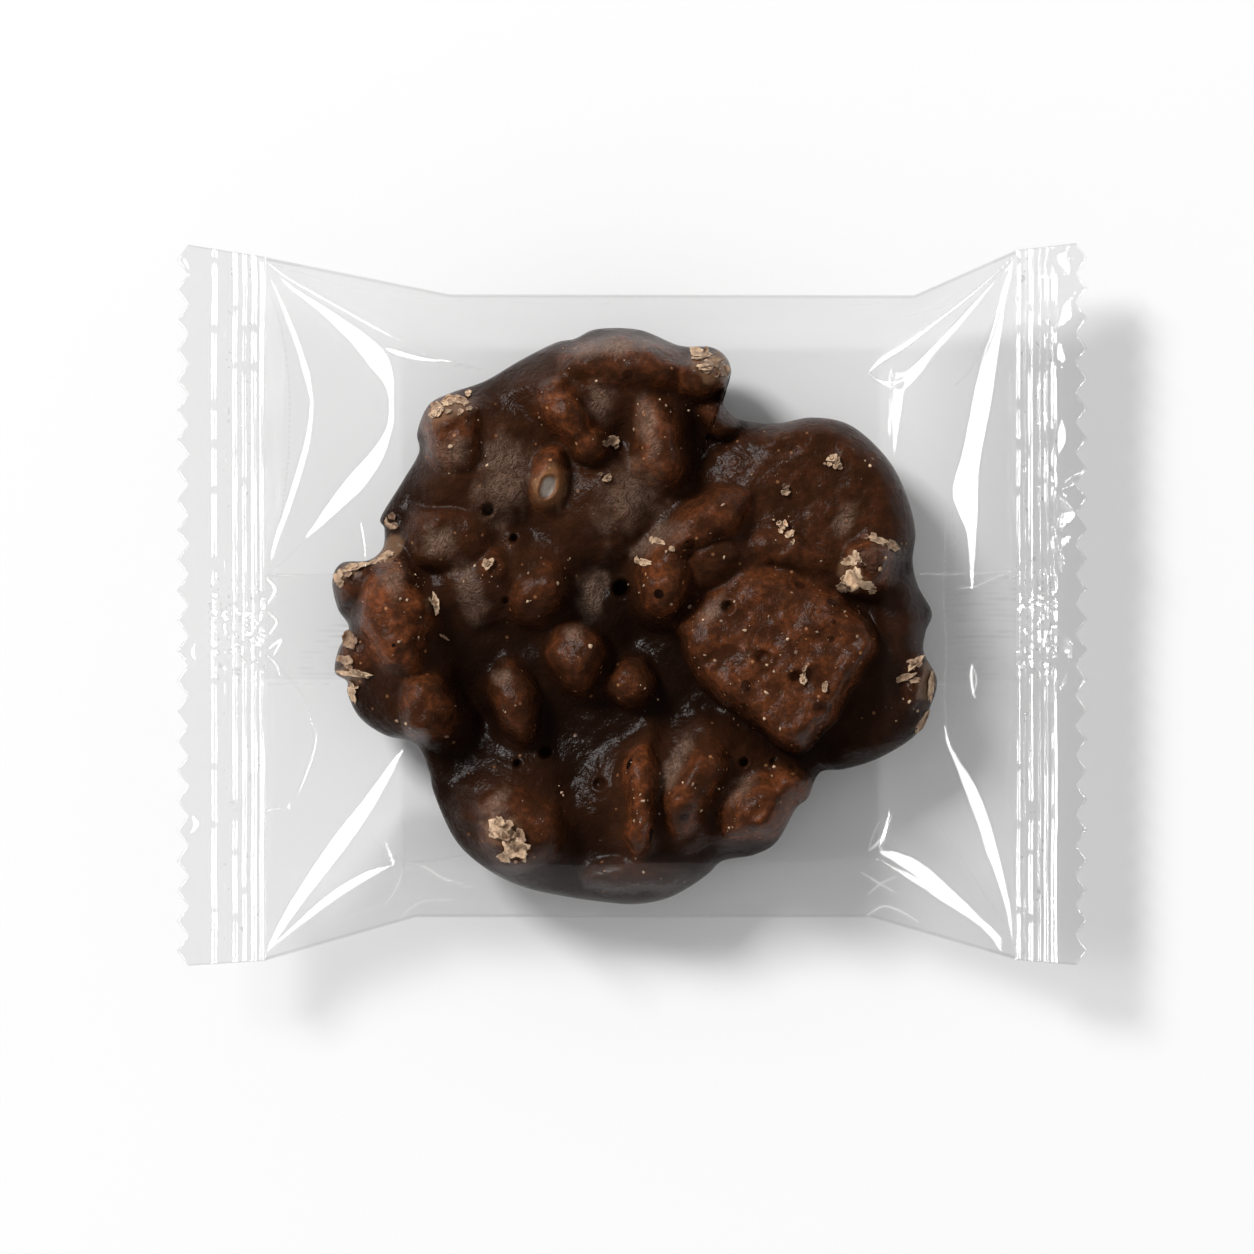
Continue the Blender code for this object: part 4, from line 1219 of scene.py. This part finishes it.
def buildPillow(material):
    # rows run from the lower to the upper edge at each column, and the back sheet has a tenth as many
    columns = pillowColumns()
    rows = film["rows"] + 1
    part = np.linspace(0, 1, rows)[:, None]
    x = np.broadcast_to(columns, (rows, len(columns)))
    low, high = along(packet["lowerEdge"], columns), along(packet["upperEdge"], columns)
    y = low + (high - low) * part
    top = filmHeight(x.ravel(), y.ravel()).reshape(x.shape)
    rim = sideFoldHeight(columns)
    top[0], top[-1] = rim, rim
    top[:, 0] = top[:, -1] = packet["sealHeight"]
    points = [pointRows(x, y, top)]
    faces = [gridQuads(rows, len(columns))]
    number = np.arange(rows * len(columns)).reshape(rows, len(columns))
    # back sheet: inner points are its own, and its border points are the top sheet's
    step = film["rowsPerBackRow"]
    backX, backY = x[step:-1:step, 1:-1], y[step:-1:step, 1:-1]
    inner = number.size + np.arange(backX.size).reshape(backX.shape)
    points.append(pointRows(backX, backY, floorHeight(backX, backY)))
    back = np.concatenate([number[:1, 1:-1], inner, number[-1:, 1:-1]])
    downward = np.stack([back[:-1, :-1], back[1:, :-1], back[1:, 1:], back[:-1, 1:]], axis=-1)
    faces.append(downward.reshape(-1, 4))
    # triangles join the back sheet's few border rows to the top sheet's many
    for side, column, turned in ((back[:, 0], number[:, 0], False), (back[:, -1], number[:, -1], True)):
        fan = []
        for segment in range(len(side) - 1):
            fine = column[segment * step:(segment + 1) * step + 1]
            half = step // 2
            fan.append(np.stack([fine[:half], fine[1:half + 1], np.full(half, side[segment])], axis=1))
            rest = np.full(step - half, side[segment + 1])
            fan.append(np.stack([fine[half:-1], fine[half + 1:], rest], axis=1))
            fan.append(np.array([[fine[half], side[segment + 1], side[segment]]]))
        fan = np.concatenate(fan)
        faces.append(fan[:, ::-1] if turned else fan)
    piece = makePiece("filmPillow", np.concatenate(points), faces, material)
    paint(piece, "shading", np.concatenate([np.zeros(number.size), filmShading(backX, backY).ravel()]))
    veil = np.full(x.shape, film["veil"])
    veil[[1, -2]] = film["edgeVeil"]
    paint(piece, "veil", np.concatenate([veil.ravel(), np.full(backX.size, film["veil"])]))
    # the border is a sharp fold, so neither sheet is shaded round it
    onRim = np.zeros(number.size + backX.size, dtype=bool)
    onRim[gridRim(rows, len(columns))] = True
    ends = np.empty(2 * len(piece.data.edges), dtype=np.int32)
    piece.data.edges.foreach_get("vertices", ends)
    sharp = onRim[ends.reshape(-1, 2)].all(axis=1)
    piece.data.attributes.new("sharp_edge", "BOOLEAN", "EDGE").data.foreach_set("value", sharp)
    # painted highlights: white lines along the creases and folds
    crease = highlightLineMask(x.ravel(), y.ravel(), paintedHighlightLines)
    paint(piece, "crease", np.concatenate([crease, np.zeros(backX.size)]))
    return piece


def filmMaterial():
    # a thin sheet reflects 2F / (1 + F) of the light, F being one face's Fresnel share, and lets the rest
    # through; a painted veil makes it denser, and where highlights are painted along the creases it turns
    # white and scattering
    material, tree, surface = newMaterial("clearFilm")
    crease, veil, held = (painted(tree, name) for name in ("crease", "veil", "shading"))
    # painted highlights: where crease is painted the film turns white and matt
    colour = mixColour(tree, crease, (film["mirrorGrey"],) * 3, (0.95, 0.95, 0.95))
    tree.links.new(colour, surface.inputs["Base Color"])
    tree.links.new(calculate(tree, "SUBTRACT", 1.0, crease), surface.inputs["Metallic"])
    surface.inputs["Roughness"].default_value = film["roughness"]
    # the Fresnel node turns the ior over on the inside of a closed piece, so it is given turned over there
    inside = addNode(tree, "ShaderNodeNewGeometry").outputs["Backfacing"]
    ior = addNode(tree, "ShaderNodeMapRange", {
        "Value": inside, "To Min": film["ior"], "To Max": 1 / film["ior"]}).outputs[0]
    face = addNode(tree, "ShaderNodeFresnel", {"IOR": ior}).outputs["Fac"]
    twice, oneMore = calculate(tree, "MULTIPLY", face, 2.0), calculate(tree, "ADD", face, 1.0)
    reflected = calculate(tree, "DIVIDE", twice, oneMore)
    seen = calculate(tree, "MULTIPLY_ADD", reflected, film["strength"], veil)
    seen = calculate(tree, "MAXIMUM", seen, calculate(tree, "MULTIPLY", crease, film["highlightCover"]))
    # a real film takes next to nothing from light that passes, so shadow rays meet only the painted shading
    shadow = addNode(tree, "ShaderNodeLightPath").outputs["Is Shadow Ray"]
    alpha = addNode(tree, "ShaderNodeMix", {0: shadow, 2: seen, 3: held}, data_type="FLOAT").outputs[0]
    tree.links.new(alpha, surface.inputs["Alpha"])
    return material


clearFilm = filmMaterial()
pillow = buildPillow(clearFilm)
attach(pillow, "root")
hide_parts("packet")


# the crimped ends

seal = {
    "filmPair": 0.10,
    "rowsPerHalfTooth": 6,
    "columns": 110,
    "ribSlope": 0.84,
    # X and half width of each crimped rib
    "leftRibs": ((-48.2, 0.36), (-46.9, 0.16), (-45.8, 0.32), (-44.7, 0.28), (-43.6, 0.36), (-42.7, 0.26)),
    "rightRibs": ((44.6, 0.24), (45.3, 0.16), (46.0, 0.30), (47.0, 0.20), (47.8, 0.30), (48.7, 0.40)),
    "edgeCurl": 0.22,
    # shares of the seal's length at which columns start to follow the teeth and the edge starts to curl up
    "cutStart": 0.88,
    "curlStart": 0.965,
    # where the back fin runs through the seal: its middle, and the distance over which that ends
    "overFin": (-2.6, 6.0),
    # tips of the cut strips that bend and catch the light: X, Y, width of the bent strip
    "leftBends": {
        "upperTip": ((-51.8, 40.7, 0.12), (-51.5, 39.5, 0.46), (-51.0, 38.4, 0.12)),
        "middleTip": ((-50.3, -4.1, 0.12), (-50.7, -5.5, 0.58), (-50.2, -6.9, 0.12)),
        "lowerTip": ((-51.0, -23.9, 0.12), (-50.3, -25.3, 0.69), (-51.0, -26.9, 0.12)),
    },
    "rightBends": {
        "topBlob": ((50.1, 40.9, 0.23), (49.6, 40.0, 1.50), (50.1, 38.8, 1.04), (50.3, 37.9, 0.12)),
        "secondBlob": (
            (50.7, 35.4, 0.23), (50.1, 34.4, 1.04), (50.0, 33.3, 1.62), (49.2, 32.1, 0.46),
            (48.9, 31.7, 0.12),
        ),
        "thirdBlob": ((49.4, 30.3, 0.12), (49.2, 29.1, 1.38), (49.6, 28.2, 1.04), (50.3, 27.5, 0.12)),
        "longBlob": ((49.6, 21.5, 0.12), (49.5, 20.1, 1.04), (49.4, 18.5, 1.15), (49.2, 17.1, 0.12)),
        "streak": ((51.5, 15.1, 0.12), (50.5, 14.1, 0.92), (49.6, 13.2, 0.12)),
        "bigBlob": (
            (49.2, 12.7, 0.12), (49.8, 11.6, 1.38), (50.2, 10.4, 2.08), (49.6, 9.3, 1.15),
            (49.2, 8.6, 0.12),
        ),
        "sixthBlob": ((50.8, 8.4, 0.12), (49.8, 7.2, 1.15), (49.4, 6.3, 0.23)),
        "seventhBlob": ((49.4, 6.1, 0.12), (49.3, 4.9, 1.38), (49.6, 3.7, 0.35), (49.7, 3.3, 0.12)),
        "lowBlob": ((50.1, -3.6, 0.12), (50.1, -4.8, 1.38), (50.5, -5.9, 0.58), (51.0, -6.6, 0.12)),
        "lastBlob": ((50.1, -7.8, 0.12), (49.8, -9.2, 0.58), (49.4, -9.9, 0.12)),
    },
}


def levelHeight(x, y):
    # the seals are level before their tips bend
    return np.zeros(np.shape(x))


def overFinShare(y):
    # 1 where the back fin runs through the seal, 0 away from it
    middle, reach = seal["overFin"]
    return np.exp(-((y - middle) / reach) ** 4)


def sealHeightAt(x, y, ribs, bends):
    # level, with a three-cornered rib along each line, uneven along its length, and bent tips
    height = np.full(x.shape, packet["sealHeight"])
    overFin = overFinShare(y - 2.0 * smoothNoise(x, y, 3.0, 35))
    for number, (place, width) in enumerate(ribs):
        row = y * 0 + number
        wander = place + 0.07 * smoothNoise(y, row, 6.0, 31)
        gaps = share(smoothNoise(y, row, 1.1, 33), 0.6, 0.9)
        uneven = 0.12 * smoothNoise(y, row, 3.0, 32) - 0.7 * gaps
        broken = overFin * 0.8 * smoothNoise(y, row, 0.45, 34)
        slope = seal["ribSlope"] * (1 + uneven + broken)
        height = height + slope * np.maximum(width - np.abs(x - wander), 0)
    for path in bends.values():
        height = height + wrinkleLift(x, y, path, levelHeight)
    return height


def buildSeal(name, side, material):
    # rows follow the teeth: the outermost column runs zigzag between each root and tip. side is -1 for the
    # left end and 1 for the right one
    rows = 2 * packet["toothCount"] * seal["rowsPerHalfTooth"] + 1
    tooth = np.linspace(0, packet["toothCount"], rows)[:, None]
    cut = packet["halfLength"] - packet["toothDepth"] * np.abs(2 * (tooth % 1.0) - 1)
    inner, ribs, bends = packet["leftSealEnd"], seal["leftRibs"], seal["leftBends"]
    if side > 0:
        inner, ribs, bends = packet["rightSealEnd"], seal["rightRibs"], seal["rightBends"]
    part = np.linspace(0, 1, seal["columns"])[None, :]
    root = side * (packet["halfLength"] - packet["toothDepth"] - 0.4)
    straight = inner + (root - inner) * share(part, 0, seal["cutStart"])
    x = straight + (side * cut - straight) * share(part, seal["cutStart"], 1.0)
    low, high = along(packet["lowerEdge"], x), along(packet["upperEdge"], x)
    y = low + (high - low) * tooth / packet["toothCount"]
    middle = sealHeightAt(x, y, ribs, bends) + seal["edgeCurl"] * share(part, seal["curlStart"], 1.0) ** 2
    half = seal["filmPair"] / 2
    points = np.concatenate([pointRows(x, y, level) for level in (middle + half, middle - half)])
    faces = sheetFaces(rows, seal["columns"])
    # the left end's columns run towards -X, which turns its faces over
    if side < 0:
        faces = [group[:, ::-1] for group in faces]
    piece = makePiece(name, points, faces, material)
    paint(piece, "shading", np.tile(1 - np.sqrt(1 - filmShading(x, y).ravel()), 2))
    veil = np.full(x.shape, film["sealVeil"])
    veil[[0, -1]] = film["edgeVeil"] / 2
    veil[:, -1] = film["edgeVeil"] / 2
    paint(piece, "veil", np.tile(veil.ravel(), 2))
    # painted highlights: white flecks on the ribs, most where the fin runs through the seal
    overFin = overFinShare(y)
    onRibs = sum(np.exp(-((x - place) / 0.55) ** 2) for place, width in ribs)
    flecks = smoothNoise(x, y, 0.30, 36) + 0.5 * smoothNoise(x, y * 0.35, 0.5, 37)
    flecks = share(flecks, 0.75 - 0.55 * overFin, 1.05 - 0.45 * overFin)
    paintedFlecks = flecks * np.minimum(onRibs, 1) * (0.35 + 0.6 * overFin)
    paint(piece, "crease", np.tile(paintedFlecks.ravel(), 2))
    return piece


for name, side in (("leftSeal", -1), ("rightSeal", 1)):
    end = buildSeal(name, side, clearFilm)
    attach(end, "root")
    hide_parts("packet")


# the fin on the back: the film's two long edges, sealed together and laid flat under the packet

fin = {
    "columns": 260,
    "rows": 40,
    "thickness": 0.12,
    "crimpRise": 0.07,
    "crimpPitch": 0.62,
    "highlightLineStrength": 0.22,
    "gap": 0.04,
}


def buildFin(material):
    # a strip that follows the back sheet from below, its crimp a wave across its width
    x, part = np.meshgrid(np.linspace(packet["leftSealEnd"], packet["rightSealEnd"], fin["columns"]),
                          np.linspace(0, 1, fin["rows"]))
    edge = 0.25 * smoothNoise(x, x * 0, 5.0, 41)
    y = packet["finLow"] + edge + (packet["finHigh"] - packet["finLow"]) * part
    wave = np.cos(2 * math.pi * y / fin["crimpPitch"]) * (0.4 + 0.6 * smoothNoise(x, y, 1.6, 42) ** 2)
    under = floorHeight(x, y) - fin["gap"] - fin["crimpRise"]
    upper, lower = under + fin["crimpRise"] * wave, under - fin["thickness"] + fin["crimpRise"] * wave
    points = np.concatenate([pointRows(x, y, level) for level in (upper, lower)])
    points[:, 2] = np.maximum(points[:, 2], 0.01)
    piece = makePiece("backFin", points, sheetFaces(fin["rows"], fin["columns"]), material)
    # painted highlights: white lines along the crests of the crimp
    crests = share(np.cos(2 * math.pi * y / fin["crimpPitch"]), 0.5, 1.0)
    lines = crests * share(smoothNoise(x, y * 3, 1.8, 43), -0.3, 0.8)
    paint(piece, "veil", np.full(2 * x.size, film["finVeil"]))
    paint(piece, "crease", np.concatenate([fin["highlightLineStrength"] * lines.ravel(), np.zeros(x.size)]))
    return piece


backFin = buildFin(clearFilm)
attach(backFin, "root")
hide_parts("packet")


# studio

studio = {
    "frameWidth": 144.7,
    "frameCentre": (-0.58, -2.6),
    "cameraHeight": 3.0,
    # height in metres at which the frame has that width, and the camera's sensor width
    "frameHeight": 0.009,
    "sensorWidth": 36.0,
    "floorColour": (0.92, 0.92, 0.92),
    "floorReach": 4000.0,
    "skyBright": 0.50,
    "skyMirrored": 0.30,
    "skyDark": 0.01,
    # bright cards: azimuths, lowest and highest point and width in degrees, distance in metres, brightness
    "cards": {
        "leftCard": 180.0,
        "rightCard": 0.0,
    },
    "cardHeights": (3.0, 19.5),
    "cardWidth": 88.0,
    "cardDistance": 1.5,
    "cardBrightness": 36.0,
    # name: azimuth and height in degrees, distance in metres, width and height in degrees, brightness
    "lamps": {
        "key": (135.0, 40.0, 5.0, 15.0, 15.0, 41.5),
    },
}


def placeLamp(name, azimuth, height, distance, width, tall, brightness):
    # a rectangular lamp that faces the packet and looks the given number of degrees wide and tall from there
    lamp = bpy.data.lights.new(name, "AREA")
    lamp.shape = "RECTANGLE"
    lamp.size = 2 * distance * math.tan(math.radians(width / 2))
    lamp.size_y = 2 * distance * math.tan(math.radians(tall / 2))
    lamp.energy = brightness * math.pi * lamp.size * lamp.size_y
    holder = bpy.data.objects.new(name, lamp)
    flat, up = math.radians(azimuth), math.radians(height)
    direction = Vector((math.cos(flat) * math.cos(up), math.sin(flat) * math.cos(up), math.sin(up)))
    holder.location = direction * distance
    holder.rotation_euler = direction.to_track_quat("Z", "Y").to_euler()
    holder.visible_camera = False
    bpy.context.scene.collection.objects.link(holder)


def placeCard(name, azimuth):
    # a bright card near the horizon whose light falls on the film alone
    low, high = studio["cardHeights"]
    placeLamp(name, azimuth, (low + high) / 2, studio["cardDistance"], studio["cardWidth"], high - low,
              studio["cardBrightness"])
    holder = bpy.data.objects[name]
    holder.light_linking.receiver_collection = filmPieces
    holder.light_linking.blocker_collection = filmPieces


def buildSky():
    # even light from all round, mirrored as dark, so that the film shows its contents
    world = bpy.data.worlds.new("studioSky")
    world.use_nodes = True
    world.cycles.sampling_method = "NONE"
    bpy.context.scene.world = world
    tree = world.node_tree
    direction = addNode(tree, "ShaderNodeTexCoord").outputs["Generated"]
    upward = addNode(tree, "ShaderNodeSeparateXYZ", {"Vector": direction}).outputs["Z"]
    mirrored = addNode(tree, "ShaderNodeMapRange", {
        "Value": upward, "From Min": 0.0, "From Max": 0.6,
        "To Min": studio["skyMirrored"], "To Max": studio["skyDark"]}).outputs[0]
    glossy = addNode(tree, "ShaderNodeLightPath").outputs["Is Glossy Ray"]
    strength = addNode(tree, "ShaderNodeMix", {0: glossy, 2: studio["skyBright"], 3: mirrored},
                       data_type="FLOAT").outputs[0]
    tree.links.new(strength, tree.nodes["Background"].inputs["Strength"])
    tree.nodes["Background"].inputs["Color"].default_value = (1.0, 1.0, 1.0, 1.0)


def buildFloor():
    far = studio["floorReach"]
    points = np.array([(-far, -far, 0), (far, -far, 0), (far, far, 0), (-far, far, 0)], dtype=float)
    material, tree, surface = newMaterial("paleFloor")
    surface.inputs["Base Color"].default_value = (*studio["floorColour"], 1.0)
    surface.inputs["Roughness"].default_value = 0.9
    surface.inputs["Specular IOR Level"].default_value = 0.0
    floor = makePiece("floor", points, [np.array([[0, 1, 2, 3]])], material, shadeSmooth=False)


def placeCamera():
    camera = bpy.data.cameras.new("camera")
    distance = studio["cameraHeight"] - studio["frameHeight"]
    camera.lens = studio["sensorWidth"] * distance / (studio["frameWidth"] * mm)
    camera.clip_end = 50.0
    holder = bpy.data.objects.new("camera", camera)
    centreX, centreY = studio["frameCentre"]
    holder.location = (centreX * mm, centreY * mm, studio["cameraHeight"])
    bpy.context.scene.collection.objects.link(holder)
    bpy.context.scene.camera = holder


for name, values in studio["lamps"].items():
    placeLamp(name, *values)
filmPieces = bpy.data.collections.new("filmPieces")
for name in ("filmPillow", "leftSeal", "rightSeal", "backFin"):
    filmPieces.objects.link(bpy.data.objects[name])
for name, azimuth in studio["cards"].items():
    placeCard(name, azimuth)
buildSky()
buildFloor()
placeCamera()
bpy.context.scene.view_settings.view_transform = "Standard"
print("studio ready")
